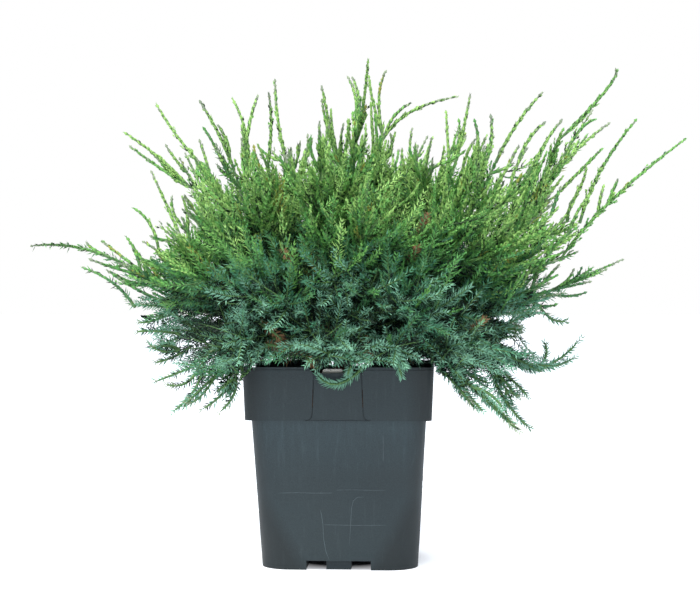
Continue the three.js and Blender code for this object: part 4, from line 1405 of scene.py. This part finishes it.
# %% Whips with places of their own
WHIPS_PX = {
    "left arch": [
        (150, 277, 88, 250, 32, 246), (103, 256, 95, 250, 88, 244), (150, 279, 120, 255, 103, 242),
        (140, 276, 115, 268, 92, 260), (140, 301, 113, 283, 83, 268), (152, 278, 140, 257, 127, 238),
        (162, 250, 151, 226, 135, 209), (181, 237, 167, 206, 152, 173), (180, 235, 175, 216, 172, 198),
        (190, 232, 187, 215, 183, 199),
    ],
    "left shoulder": [
        (193, 180, 158, 157, 125, 133), (188, 188, 160, 168, 131, 147), (186, 173, 176, 160, 167, 147),
        (210, 175, 180, 140, 157, 105), (209, 170, 205, 157, 200, 142), (236, 170, 220, 137, 201, 103),
        (229, 175, 218, 152, 205, 130), (234, 158, 227, 143, 219, 127),
    ],
    "top left": [
        (250, 165, 245, 131, 233, 100), (249, 150, 250, 122, 257, 98), (271, 165, 271, 130, 269, 95),
        (283, 165, 278, 120, 275, 82), (290, 180, 291, 165, 291, 150), (313, 170, 312, 154, 311, 137),
        (335, 150, 328, 118, 322, 88), (333, 145, 326, 122, 322, 102), (323, 165, 321, 145, 319, 126),
    ],
    "top": [
        (357, 135, 356, 103, 349, 79), (358, 120, 358, 98, 353, 79), (362, 130, 365, 92, 368, 61),
        (375, 125, 373, 102, 369, 78), (377, 130, 379, 99, 385, 73),
    ],
    "arch": [
        (378, 140, 409, 113, 456, 97), (390, 165, 391, 150, 391, 136), (394, 175, 396, 163, 398, 152),
        (410, 170, 410, 150, 412, 130), (420, 175, 426, 156, 432, 139),
    ],
    "right of the dip": [
        (448, 178, 448, 145, 446, 113), (458, 165, 459, 143, 459, 122), (461, 160, 464, 127, 470, 96),
        (480, 165, 478, 143, 475, 122), (492, 165, 491, 141, 491, 118), (494, 165, 515, 127, 541, 94),
        (520, 160, 530, 138, 543, 124), (500, 185, 508, 166, 518, 147), (530, 172, 544, 145, 560, 122),
    ],
    "right hook": [
        (556, 140, 602, 95, 616, 72), (565, 145, 580, 130, 594, 120), (560, 168, 584, 143, 608, 124),
        (560, 200, 579, 172, 601, 150), (578, 225, 600, 172, 635, 121), (574, 205, 580, 188, 586, 170),
    ],
    "right long": [(560, 258, 612, 200, 684, 140)],
    "right arm": [
        (530, 305, 573, 281, 622, 260), (538, 314, 552, 319, 567, 321), (525, 300, 543, 282, 558, 266),
    ],
    "low arm": [(500, 362, 542, 367, 582, 337), (500, 362, 540, 368, 577, 356)],
    "low right": [
        (498, 358, 511, 379, 529, 398), (482, 368, 505, 400, 531, 429), (474, 372, 493, 404, 520, 432),
        (447, 370, 461, 391, 479, 411), (490, 372, 500, 393, 515, 407),
    ],
    "low left": [
        (207, 365, 195, 389, 171, 413), (210, 370, 200, 390, 183, 407), (238, 368, 224, 392, 201, 410),
        (237, 374, 234, 394, 219, 413), (200, 362, 180, 372, 152, 383), (192, 350, 173, 357, 153, 363),
        (180, 335, 158, 331, 135, 332), (180, 348, 162, 351, 147, 342), (176, 318, 155, 320, 137, 322),
    ],
    "in the dip": [
        (400, 250, 402, 215, 405, 180), (414, 242, 416, 212, 419, 184), (389, 240, 388, 208, 386, 178),
        (386, 250, 389, 205, 392, 165), (396, 245, 397, 205, 399, 168), (408, 250, 409, 205, 411, 168),
        (404, 190, 403, 168, 402, 150), (372, 178, 373, 140, 371, 105), (379, 168, 377, 142, 375, 117),
    ],
    "between the others": [
        (336, 168, 334, 140, 331, 112), (257, 192, 255, 172, 252, 155), (458, 182, 465, 160, 474, 141),
        (503, 196, 514, 173, 526, 150), (530, 178, 540, 155, 552, 132), (160, 301, 138, 290, 108, 271),
        (156, 297, 135, 283, 113, 273), (440, 372, 456, 385, 470, 402), (478, 383, 491, 395, 503, 409),
        (455, 376, 468, 394, 484, 412), (470, 380, 494, 408, 517, 430), (205, 370, 186, 383, 165, 384),
        (216, 376, 201, 396, 187, 404), (181, 350, 166, 346, 150, 349), (546, 216, 555, 203, 560, 189),
        (560, 223, 572, 205, 578, 187), (566, 233, 577, 213, 588, 197), (338, 168, 340, 150, 343, 126),
        (346, 162, 347, 142, 349, 122), (250, 182, 249, 162, 247, 140), (253, 178, 253, 162, 254, 148),
        (184, 184, 168, 169, 150, 151), (190, 186, 176, 173, 160, 157), (393, 182, 393, 166, 391, 150),
        (400, 184, 402, 172, 405, 160),
    ],
}
FORKS_PX = {
    "arch": [(380, 135, 393, 118, 409, 104)],
    "right hook": [(568, 138, 580, 121, 591, 108)],
    "right long": [(606, 205, 612, 193, 617, 181), (596, 212, 600, 200, 603, 188)],
    "right arm": [
        (554, 292, 565, 282, 573, 271), (567, 286, 575, 278, 581, 269), (565, 287, 585, 278, 605, 270),
        (560, 287, 576, 279, 592, 268), (552, 293, 570, 286, 589, 282), (548, 297, 566, 296, 584, 293),
    ],
    "low arm": [(535, 366, 546, 356, 544, 341)],
}
OVER_THE_LIP_PX = [
    (374, 348, 346, 381, 317, 374), (350, 346, 330, 354, 315, 370), (362, 346, 354, 360, 348, 377),
    (392, 348, 398, 362, 402, 378), (400, 348, 402, 358, 407, 368),
]
DRY_PX = [
    (258, 322, 273, 332, 283, 341), (264, 344, 281, 347, 299, 352), (272, 337, 284, 344, 292, 353),
    (320, 327, 330, 331, 339, 337), (301, 354, 307, 358, 313, 364), (418, 238, 423, 226, 427, 214),
    (408, 262, 414, 255, 417, 246), (282, 243, 284, 252, 290, 258), (472, 331, 478, 326, 486, 318),
    (361, 330, 366, 344, 367, 352),
]

# %% [markdown]
# A main shoot is looked at in 16 places along it. The place that a whip grows from is the one with
# the least misfit: its distance in the photo, in pixels, and more where it points another way or
# runs almost straight at the camera, so that its way says little.

# %% Grow the whips from the main shoots
WHIP = {"other_way_px": 60, "end_on_px": 20, "least_sideways": 0.7, "slope": 0.45}
FRONT_DEPTH = CAMERA["distance"] - RIM_HALF - 6
ROOTS_BEHIND, DRY_NEARER = 25, 62
main_canes = [(name, cane) for name, (shoots, _, _) in grown.items() for cane, _ in shoots]
places_along = np.linspace(0.15, 0.92, 16)
places = np.concatenate([cane.at(places_along) for _, cane in main_canes])
ways = np.concatenate([cane.along(places_along) for _, cane in main_canes])
owners = np.repeat([name for name, _ in main_canes], len(places_along))
places_px, places_depth = in_photo(places)
ways_seen = np.stack([ways @ RIGHT, -ways[:, 2]], 1)
sideways = span(ways_seen)


def through(begin, bend, tip, depths):
    """The curve from a point in mm past one pixel to another, with a depth for each of them."""
    middle, end = from_photo(bend, depths[0]), from_photo(tip, depths[1])
    return bent(begin, 2 * middle - (begin + end) / 2, end)


def sky_whip(start, bend, tip):
    """A whip against the sky and the mass that it grows from."""
    same_way = ways_seen @ unit(bend - start) / np.maximum(sideways, 1e-6)
    misfit = (span(places_px - start) + WHIP["other_way_px"] * (1 - same_way)
              + WHIP["end_on_px"] * np.maximum(0, WHIP["least_sideways"] - sideways))
    best = np.argmin(misfit)
    slope = (ways[best] @ AHEAD) / max(sideways[best], 0.3)
    slope = np.clip(slope, -WHIP["slope"], WHIP["slope"])
    run = span(np.array([bend, tip]) - places_px[best])
    depths = places_depth[best] * (1 + slope * run / CAMERA["focal_px"])
    depths = [in_box(pixel, depth) for pixel, depth in zip((bend, tip), depths)]
    return owners[best], through(places[best], bend, tip, depths)


def fork(parent, start, bend, tip):
    """A fork of another whip, from where that one comes nearest to its start."""
    owner, controls = parent
    on_parent = bezier(controls[None], np.linspace(0, 1, 41))
    pixels, depths = in_photo(on_parent)
    nearest = np.argmin(span(pixels - start))
    return owner, through(on_parent[nearest], bend, tip, [depths[nearest]] * 2)


def front_spray(start, bend, tip, nearer=0):
    """A spray just before the pot's front face, or nearer to the camera by some millimetres."""
    behind = abs(places_depth - FRONT_DEPTH - ROOTS_BEHIND)
    best = np.argmin(span(places_px - start) + 0.5 * behind)
    begin = from_photo(start, FRONT_DEPTH - nearer / 2) if nearer else places[best]
    return owners[best], through(begin, bend, tip, [FRONT_DEPTH - nearer] * 2)


def pixels_of(path):
    return np.array(path, float).reshape(3, 2)


def by_mass(rows):
    """Curves as one array for each mass, from pairs of a mass and a curve."""
    return {name: np.array([controls for owner, controls in rows if owner == name])
            .reshape(-1, 4, 3) for name in MASSES}


whips = {group: [sky_whip(*pixels_of(path)) for path in paths]
         for group, paths in WHIPS_PX.items()}
forks = [fork(whips[group][0], *pixels_of(path))
         for group, paths in FORKS_PX.items() for path in paths]
whips_of = by_mass([row for rows in whips.values() for row in rows] + forks)
droops_of = by_mass([front_spray(*pixels_of(path)) for path in OVER_THE_LIP_PX])
dry_of = by_mass([front_spray(*pixels_of(path), DRY_NEARER) for path in DRY_PX])
print("whips on each mass:", {name: len(rows) for name, rows in whips_of.items() if len(rows)})

# %% [markdown]
# The boughs behind have more room each than those in front, so gaps would show from the back. The
# same rule fills them: even directions over the crown are tried in turn, and where no main shoot
# points, a whip grows out of the nearest limb, to 0.76 of the reach of the mass that it's in.

# %% Whips into the gaps between main shoots
GAP_WHIP = {"directions": 300, "rises": (-0.05, 0.96), "least_gap_deg": 9, "reach": 0.76,
            "top": 500, "spill_px": 10, "arch_out": 12, "arch_up": 8, "off_the_back": 10}


def grow_gap_whips():
    """Whips by mass. Each one's tip is drawn in until it falls within the skyline."""
    rows, names, margin = [], list(MASSES), GAP_WHIP["off_the_back"]
    tips = [unit(cane.at(1.0) - CROWN_CENTRE) for _, cane in main_canes]
    own = np.array([direction(*row[:2]) for row in MASSES.values()])
    low, high = CAD_BOX + np.array([[0, margin, 0], [0, -margin, 0]])
    for k in range(GAP_WHIP["directions"]):
        rise = mix(*GAP_WHIP["rises"], (k + 0.5) / GAP_WHIP["directions"])
        level, turn = math.sqrt(1 - rise * rise), k * GOLDEN_TURN
        way = np.array([level * math.cos(turn), level * math.sin(turn), rise])
        if (np.array(tips) @ way).max() > math.cos(math.radians(GAP_WHIP["least_gap_deg"])):
            continue
        name = names[np.argmax(own @ way)]
        reach = min(GAP_WHIP["reach"] * MASSES[name][2],
                    (GAP_WHIP["top"] - CROWN_CENTRE[2]) / max(rise, 0.1))
        end = CROWN_CENTRE + way * reach
        while not in_skyline(end[None], GAP_WHIP["spill_px"])[0]:
            end = mix(CROWN_CENTRE, end, 0.95)
        roots = np.concatenate([cane.at(np.linspace(0.05, 0.6, 12)) for cane, _ in grown[name][0]])
        off_line = span(roots - CROWN_CENTRE - way * 0.35 * reach)
        start = roots[np.argmin(off_line)]
        middle = mix(start, end, 0.5) + way * GAP_WHIP["arch_out"] + UP * GAP_WHIP["arch_up"]
        if ((low < end) & (end < high))[:2].all() and outside_pot(end[None])[0]:
            rows.append((name, bent(start, middle, end)))
            tips.append(way)
    return by_mass(rows)


gap_whips = grow_gap_whips()
print("gap whips:", sum(len(rows) for rows in gap_whips.values()))
whips_of = {name: np.concatenate([whips_of[name], gap_whips[name]]) for name in MASSES}

# %% [markdown]
# ## Leaves
#
# A juniper bears two kinds of leaf. On older and outer shoots they are small scales that hug the
# twig in crossed pairs, so that a shoot looks like a plaited cord. On young and shaded shoots they
# are needles that stand off at a wide angle, so that a shoot looks like a feather. Both are kites
# of two triangles, folded along the midrib. They are drawn larger than life, which keeps the whole
# plant near a million triangles: needles 9.8 mm long, scales 5 mm, and on the whips scales of
# 8.2 mm, where one stands for a few of the real ones. On sprays over the lip, which are seen from
# close by, the needles stand closer, as in a comb.

# %% Leaf pairs as arrays
# Spread and roll are angles from the twig and about the leaf. Flat ones lie in the twig's plane.
SCALE_LEAF = {"length": 5.0, "width": 2.4, "spread_deg": 17, "spacing": 3.1, "fold": 0.2,
              "belly": 0.45, "roll_deg": (-20, 20), "flat": False}
CORD_LEAF = {**SCALE_LEAF, "length": 8.2, "width": 4.2, "spread_deg": 16, "spacing": 3.6,
             "belly": 0.4, "roll_deg": (-12, 12)}
NEEDLE = {"length": 9.8, "width": 1.7, "spread_deg": 50, "spacing": 3.6, "fold": 0.1,
          "belly": 0.3, "roll_deg": (52, 90), "flat": True}
COMB_NEEDLE = {**NEEDLE, "spacing": 2.5, "width": 1.9, "spread_deg": 52, "roll_deg": (60, 90)}


def leaf_pairs(controls, side, radius, kind, tints, chance, first=0.04, size=1.0):
    """Crossed pairs of leaves along twigs: their points, triangles and tints. The tints given
    are those at the root of each twig, along it and at its tip."""
    root_tint, tint, tip_tint = tints
    first = np.broadcast_to(first, len(controls))
    room = lengths_of(controls) * (1 - first)
    count = np.maximum(1, np.round(room / kind["spacing"]).astype(int))
    twig = np.repeat(np.arange(len(count)), count)
    rank = np.arange(len(twig)) - np.repeat(np.cumsum(count) - count, count)
    t = first[twig] + (1 - first[twig]) * (rank + 0.6) / count[twig]
    at = bezier(controls[twig], t)
    along = heading(controls[twig], t)
    turn = (rank % 2 - 0.5) * 0.8 if kind["flat"] else rank * math.pi / 2
    out = turned_sides(side[twig], along, turn + chance.normal(0, 0.15, len(rank)))
    out = np.concatenate([out, -out])
    at, along, t, twig = [np.concatenate([part, part]) for part in (at, along, t, twig)]
    many = len(at)
    spread = np.radians(kind["spread_deg"] * chance.uniform(0.84, 1.16, many)) * (1 - 0.4 * t ** 4)
    lie = along * np.cos(spread)[:, None] + out * np.sin(spread)[:, None]
    reach = (kind["length"] * size * chance.uniform(0.85, 1.15, many) * (1 - 0.3 * t ** 4))[:, None]
    across = unit(np.cross(lie, out))
    roll = np.radians(chance.uniform(*kind["roll_deg"], many))[:, None]
    half = (across * np.cos(roll) + np.cross(across, lie) * np.sin(roll)) * kind["width"] * size / 2
    root = at + out * (radius * (1 - 0.6 * t))[:, None] * 0.7
    belly = root + lie * reach * kind["belly"] - kind["fold"] * kind["width"] * out
    tip = root + lie * reach - out * reach * 0.06
    points = np.stack([root, belly - half, tip, belly + half], 1).reshape(-1, 3)
    first_point = 4 * np.arange(many)[:, None]
    triangles = np.concatenate([first_point + [0, 1, 2], first_point + [0, 2, 3]])
    tints = np.where(t > chance.uniform(0.6, 0.95, many), tip_tint[twig], tint[twig])
    tints = np.where(t < chance.uniform(0.35, 0.7, many), root_tint[twig], tints)
    return points, triangles, np.tile(tints, 2)


# %% [markdown]
# Twigs are slim tubes with three to five sides that taper to a point. Their rings are made for
# all twigs of one order at once. The inner part of a shoot is woody and brown, and the outer part
# is still green, so each face knows how far along its twig it lies.

# %% Twigs as arrays
def tubes(controls, side, root_radius, tip_radius, rings, sides):
    """Tapered tubes along cubic curves: points, triangles, and each triangle's ring and twig."""
    many = len(controls)
    shares = np.arange(rings) / rings
    at = bezier(controls[:, None], shares[None])
    along = heading(controls[:, None], shares[None])
    flat = unit(np.cross(along, side[:, None]))
    deep = np.cross(flat, along)
    radius = mix(root_radius, tip_radius, shares)[None, :, None, None]
    turn = (2 * math.pi * np.arange(sides) / sides)[:, None]
    ring = at[:, :, None] + radius * (flat[:, :, None] * np.cos(turn)
                                      + deep[:, :, None] * np.sin(turn))
    points = np.concatenate([ring.reshape(many, rings * sides, 3), controls[:, 3:4]], 1)
    per = rings * sides + 1
    faces, ring_of_face = [], []
    for k in range(rings):
        for i in range(sides):
            a, b = k * sides + i, k * sides + (i + 1) % sides
            new = [(a, b, b + sides), (a, b + sides, a + sides)]
            faces += new if k < rings - 1 else [(a, b, per - 1)]
            ring_of_face += [k] * (len(faces) - len(ring_of_face))
    triangles = (np.array(faces)[None] + per * np.arange(many)[:, None, None]).reshape(-1, 3)
    twig_of_face = np.repeat(np.arange(many), len(faces))
    return points.reshape(-1, 3), triangles, np.tile(ring_of_face, many), twig_of_face


def joined(parts):
    """Several (points, triangles, finishes) put into one."""
    points, triangles, finishes = zip(*parts)
    starts = np.cumsum([0] + [len(rows) for rows in points])
    triangles = [rows + start for rows, start in zip(triangles, starts)]
    return np.concatenate(points), np.concatenate(triangles), np.concatenate(finishes)


# %% [markdown]
# A tint goes to a whole side shoot. What decides it on the real plant is light and age: low and
# inner shoots are blue-green, high and outer ones yellow-green, the last stretch of a whip is
# greyer, and a few inner shoots are dry. Neighbours on one whip share most of their tint, and
# chance spreads it a little. At a shoot's root its leaves get painted shade: a tint one step
# bluer than the rest, and for some of them a deep-shade tint.

# %% Deal out the tints
# Where each influence on a tint starts and where it's full, in mm above the floor, beside the
# pot's middle or away from the middle of the crown
TINT_RANGES = {"lit": (300, 460), "outer": (130, 300), "sides": (90, 230), "hanging": (230, 300),
               "far_out": (140, 200), "dim": (300, 400), "dim_out": (190, 280),
               "shade": (390, 455), "deep": (120, 220)}
SHADED_ROOTS, GREYED_TIPS = 0.3, 0.6


def influence(value, name):
    return smooth_step(value, *TINT_RANGES[name])


def deal_tints(points, family, to_tip, chance):
    """The tint of each shoot, and whether it bears needles. family is its whip's own luck."""
    height = points[:, 2]
    away = span(points - CROWN_CENTRE)
    lit = height + 34 * influence(abs(points[:, 0]), "sides")
    fresh = 0.74 * influence(lit, "lit") + 0.2 * influence(away, "outer")
    fresh = fresh - 0.06 * (to_tip < 70)
    fresh = fresh - 0.2 * (1 - influence(height, "hanging")) * influence(away, "far_out")
    fresh = fresh + 0.12 * family + chance.normal(0, 0.08, len(points))
    tint = (np.clip(fresh, 0, 0.999) * GREENS).astype(int)
    luck = chance.uniform(0, 1, len(points))
    tint[(to_tip < 25) & (luck < 0.5) & ~in_skyline(points, 0)] = GREY_TIP
    tint[(luck > 0.975) & (fresh > 0.6)] = OLIVE
    depth = span((points - CROWN_CENTRE - [0, 0, 30]) * [1, 1, 0.7])
    low = (1 - influence(height, "dim")) * (1 - influence(away, "dim_out"))
    shaded = chance.uniform(0, 1, len(points)) < (1 - influence(height, "shade")) * (
        (0.92 - 0.45 * low) * (1 - influence(depth, "deep")) + 0.45 * low)
    tint[shaded] = np.where(fresh[shaded] < 0.4, SHADED_SEA_GREEN, SHADED_GREEN)
    tint[(away < 150) & (luck < mix(0.015, 0.06, low))] = DRY_BROWN
    needle_share = 1 - smooth_step(fresh + 0.08 * family, 0.25, 0.62)
    return tint, chance.uniform(0, 1, len(points)) < needle_share


def painted_root_shade(tint, chance):
    """The painted shade at a shoot's root: a tint one step bluer, and often a deep-shade tint."""
    green = tint < GREENS
    deeper = np.where(green, np.maximum(tint - 1, 0), tint)
    in_shade = green & (chance.uniform(0, 1, len(tint)) < SHADED_ROOTS)
    return np.where(in_shade, np.where(tint < GREENS // 2, SHADED_SEA_GREEN, SHADED_GREEN), deeper)


def tints_along(canes, family, is_droop, is_dry, chance):
    """The tints of whips and main shoots at the root, along them and at the tip."""
    tint, _ = deal_tints(canes[:, 3], family, 50, chance)
    root_tint, _ = deal_tints(bezier(canes, 0.4), family, 100, chance)
    odd = np.isin(root_tint, (OLIVE, DRY_BROWN))
    root_tint[odd] = tint[odd]
    for chosen, own_tint in ((is_droop, 0), (is_dry, DRY_BROWN)):
        tint[chosen], root_tint[chosen] = own_tint, own_tint
    greyed = ~in_skyline(canes[:, 3], 0) & (chance.uniform(0, 1, len(canes)) < GREYED_TIPS)
    return np.array([root_tint, tint, np.where(greyed, GREY_TIP, tint)])


# %% [markdown]
# For each mass everything above comes together: its main shoots are cut at the skyline, whips and
# side shoots of every kind are grown on them, and each shoot gets its tint and its leaves. A
# leader that forks off past the place where its stem is cut would hang in the air, so it goes too.
# Leaves and twigs are one piece each. The wood of a main shoot shows only near its root.

# %% Make the foliage of every mass
BARE_WOOD, WOODY = 320, 280
NEEDLES_BELOW = 300
SHORT_SHOOT = 24
FINE_LEAF_SIZE = 0.88
# Each order's tubes: radius at the root and at the tip, how many rings and how many sides
TUBES = {"main": (2.4, 1.3, 12, 5), "slim": (1.8, 1.1, 5, 3), "whip": (2.0, 1.3, 8, 4),
         "side": (0.8, 0.45, 3, 3), "short": (0.6, 0.4, 1, 3), "fine": (0.5, 0.3, 1, 3)}
counts = []


def kept_shares(shoots, chance):
    """How much of each main shoot is kept, from its root."""
    kept = np.array([share_in_skyline(cane, chance.uniform(*MAIN_SPILL_PX)) for cane, _ in shoots])
    nodes = shoots[0][1]
    gaps = [[span(node["at"] - cane.at(0.0)) for node in nodes] for cane, _ in shoots]
    forks_at = np.array([node["share"] for node in nodes])[np.argmin(gaps, 1)]
    kept[forks_at > kept[0]] = 0
    return kept


def leaves_of_both_kinds(controls, side, radius, tint, needle, chance, size):
    # The first row is the painted shade at each shoot's root.
    tints = np.array([painted_root_shade(tint, chance), tint, tint])
    return [leaf_pairs(controls[chosen], side[chosen], radius, kind, tints[:, chosen], chance,
                       size=size)
            for kind, chosen in ((SCALE_LEAF, ~needle), (NEEDLE, needle))]


def twig_tubes(order, controls, side, woody=math.inf):
    """The tubes of one order of twigs. They are green where their tip is nearer than woody."""
    rings = TUBES[order][2]
    points, triangles, ring, twig = tubes(controls, side, *TUBES[order])
    to_tip = lengths_of(controls)[twig] * (1 - ring / rings)
    return points, triangles, (to_tip < woody).astype(int)


def make_foliage(name, number):
    shoots, sprays, in_wedge = grown[name]
    chance = np.random.default_rng(1000 + number)
    full = FULLNESS.get(name, 1.0)

    def inside(points):
        return in_wedge(points) & clear_of_front(points)

    kept = kept_shares(shoots, chance)
    mains = np.array([first_part(cane.controls, cane.place(share))
                      for (cane, _), share in zip(shoots, kept) if share > 0])
    main_side = some_side(mains)
    slim, slim_side = whiplets(mains, main_side, inside, chance, full)
    dry, droops = dry_of[name], droops_of[name]
    own_whips = np.concatenate([whips_of[name], dry, droops])
    whip_side = some_side(own_whips)
    whip_side[len(whips_of[name]):] = (0, 1, 0)
    canes = np.concatenate([mains, slim, own_whips])
    cane_side = np.concatenate([main_side, slim_side, whip_side])
    cane_size = lengths_of(canes)
    family = chance.normal(0, 1, len(canes))
    rank = np.arange(len(canes)) - (len(canes) - len(droops))
    is_droop, is_dry = rank >= 0, (rank < 0) & (rank >= -len(dry))

    first_whip = len(mains) + len(slim)
    filled = side_shoots(canes[:first_whip], cane_side[:first_whip], inside, chance, full)
    on_whips = side_shoots(own_whips, whip_side, outside_pot, chance)
    clear = ~is_droop[first_whip:][on_whips[2]] & off_pot(on_whips[0][:, 3])
    on_whips = [rows[clear] for rows in on_whips]
    on_whips[2] += first_whip
    on_sprays = list(spray_shoots(shoots, sprays, kept, inside, full))
    on_sprays[2] = (np.cumsum(kept > 0) - 1)[on_sprays[2]]
    limbs = [mains, whips_of[name]]
    if name in boughs:
        limbs.append(boughs[name].controls[None])
    inner, inner_side = inner_shoots(np.concatenate(limbs), above_rim, chance, MASSES[name][2])
    controls, side, parents, shares = [np.concatenate(rows)
                                       for rows in zip(filled, on_whips, on_sprays)]
    outer, many = len(controls), len(inner)
    controls, side = np.concatenate([controls, inner]), np.concatenate([side, inner_side])

    luck = np.concatenate([family[parents], 1.3 * chance.normal(0, 1, many)])
    to_tip = np.concatenate([cane_size[parents] * (1 - shares), np.full(many, 300)])
    tint, needle = deal_tints(controls[:, 3], luck, to_tip, chance)
    close_in = span(inner[:, 0] - CROWN_CENTRE) < INNER_SHOOT["reach"]
    needle[outer:] |= (chance.uniform(0, 1, many) < 0.5) & close_in
    fine, fine_side, parent = branchlets(controls, side, needle, off_pot, chance)
    cane_tints = tints_along(canes, family, is_droop, is_dry, chance)
    tint[:outer][is_dry[parents]] = DRY_BROWN

    parts = leaves_of_both_kinds(controls, side, 0.7, tint, needle, chance, 1.0)
    parts += leaves_of_both_kinds(fine, fine_side, 0.5, tint[parent], needle[parent], chance,
                                  FINE_LEAF_SIZE)
    green_from = np.maximum(0.05, 1 - BARE_WOOD / cane_size)
    bears_needles = (canes[:, 3, 2] < NEEDLES_BELOW) | is_dry
    for kind, chosen in ((CORD_LEAF, ~bears_needles), (NEEDLE, bears_needles & ~is_droop),
                         (COMB_NEEDLE, is_droop)):
        parts.append(leaf_pairs(canes[chosen], cane_side[chosen], 1.4, kind,
                                cane_tints[:, chosen], chance, first=green_from[chosen]))
    points, triangles, tints = joined(parts)
    used, finish_of_face = np.unique(tints, return_inverse=True)
    leaves = show(mesh_of_triangles("leaves_" + name, points, triangles, finish_of_face),
                  [LEAVES[tint] for tint in used])
    short = lengths_of(controls) < SHORT_SHOOT
    points, twig_triangles, finishes = joined([
        twig_tubes("main", mains, main_side, WOODY), twig_tubes("slim", slim, slim_side),
        twig_tubes("whip", own_whips, whip_side),
        twig_tubes("side", controls[~short], side[~short]),
        twig_tubes("short", controls[short], side[short]), twig_tubes("fine", fine, fine_side)])
    twigs = show(mesh_of_triangles("twigs_" + name, points, twig_triangles, finishes, smooth=True),
                 [TWIG, GREEN_TWIG])
    for piece in (leaves, twigs):
        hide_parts("foliage_" + name)
    counts.append((len(triangles), len(twig_triangles), len(slim), outer, len(fine), many))


for number, name in enumerate(MASSES):
    make_foliage(name, number)
totals = np.sum(counts, 0)
print("leaf and twig triangles:", totals[:2], "most in one piece:", np.max(counts, 0)[:2])
print("slim whips, side shoots, branchlets, inner shoots:", totals[2:])

# %% [markdown]
# ## Trunk and boughs
#
# Juniper bark is stringy: it splits along the limb and peels in strips. The relief is made in
# the mesh: ridges that run along the limb, each a few millimetres wide, with a slow twist.

# %% Limbs with the bark's relief
# How wide the ridges are and how high, in millimetres
TRUNK_BARK, BOUGH_BARK = (3.2, 0.9), (1.6, 0.45)


def limb_mesh_points(axis_points, radii, sides, ridge_mm, ridge_height, seed):
    """Rings round an axis, lifted by noise that is drawn out along it."""
    along = unit(np.gradient(axis_points, axis=0))
    normal = unit(np.cross(along, np.array([0.31, 0.83, 0.46])))
    across = np.cross(along, normal)
    run = np.concatenate([[0], np.cumsum(span(np.diff(axis_points, axis=0)))])
    points = []
    for k, centre in enumerate(axis_points):
        for i in range(sides):
            angle = 2 * math.pi * i / sides
            twist = angle + run[k] * 0.012
            around = Vector((math.cos(twist), math.sin(twist), 0)) * (radii[k] / ridge_mm)
            lift = noise.noise(around + Vector((seed, 0, run[k] / 22)))
            strip = noise.noise(around * 2.2 + Vector((0, seed, run[k] / 9)))
            radius = radii[k] + ridge_height * (lift + 0.5 * strip)
            points.append(centre + radius * (normal[k] * math.cos(angle)
                                             + across[k] * math.sin(angle)))
    return points


def limb_faces(rings, sides, start=0):
    last = start + (rings - 1) * sides
    return [*bands(rings, sides, start), range(start, start + sides)[::-1],
            range(last, last + sides)]


def make_trunk():
    rings, sides = 70, 56
    shares = np.linspace(0, 1, rings)
    heights = mix(SOIL_HEIGHT - 4, TRUNK["tip_height"], shares)
    axis = np.array([trunk_axis(h) for h in heights])
    flare = (TRUNK["flare"] - 1) * np.exp(-shares * 14)
    radii = mix(*TRUNK["radii"], shares) * (1 + flare)
    points = limb_mesh_points(axis, radii, sides, *TRUNK_BARK, 7)
    trunk = show(mesh_of("bark_trunk", points, limb_faces(rings, sides)), [BARK])
    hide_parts("trunk")


def make_boughs():
    points, faces, rings, sides = [], [], 26, 14
    shares = np.linspace(0, 1, rings)
    radii = bough_radius(shares) * (1 + 0.35 * np.exp(-shares * 9))
    for number, cane in enumerate(boughs.values()):
        faces += limb_faces(rings, sides, len(points))
        points += limb_mesh_points(cane.at(shares), radii, sides, *BOUGH_BARK, number)
    piece = show(mesh_of("bark_boughs", points, faces), [BARK])
    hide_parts(*("bough_" + name for name in boughs))


make_trunk()
make_boughs()

# %% [markdown]
# ## Check the size and finish
#
# Both boxes are printed, and how far the visual one reaches past the CAD one.

# %% Measure and finish
low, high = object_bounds()
print("visual box, m:", [round(v, 3) for v in (*low, *high)])
print("grown past the CAD box, mm:", [round(v / MM, 1) for v in (*(cad_low - low),
                                                                 *(high - cad_high))])
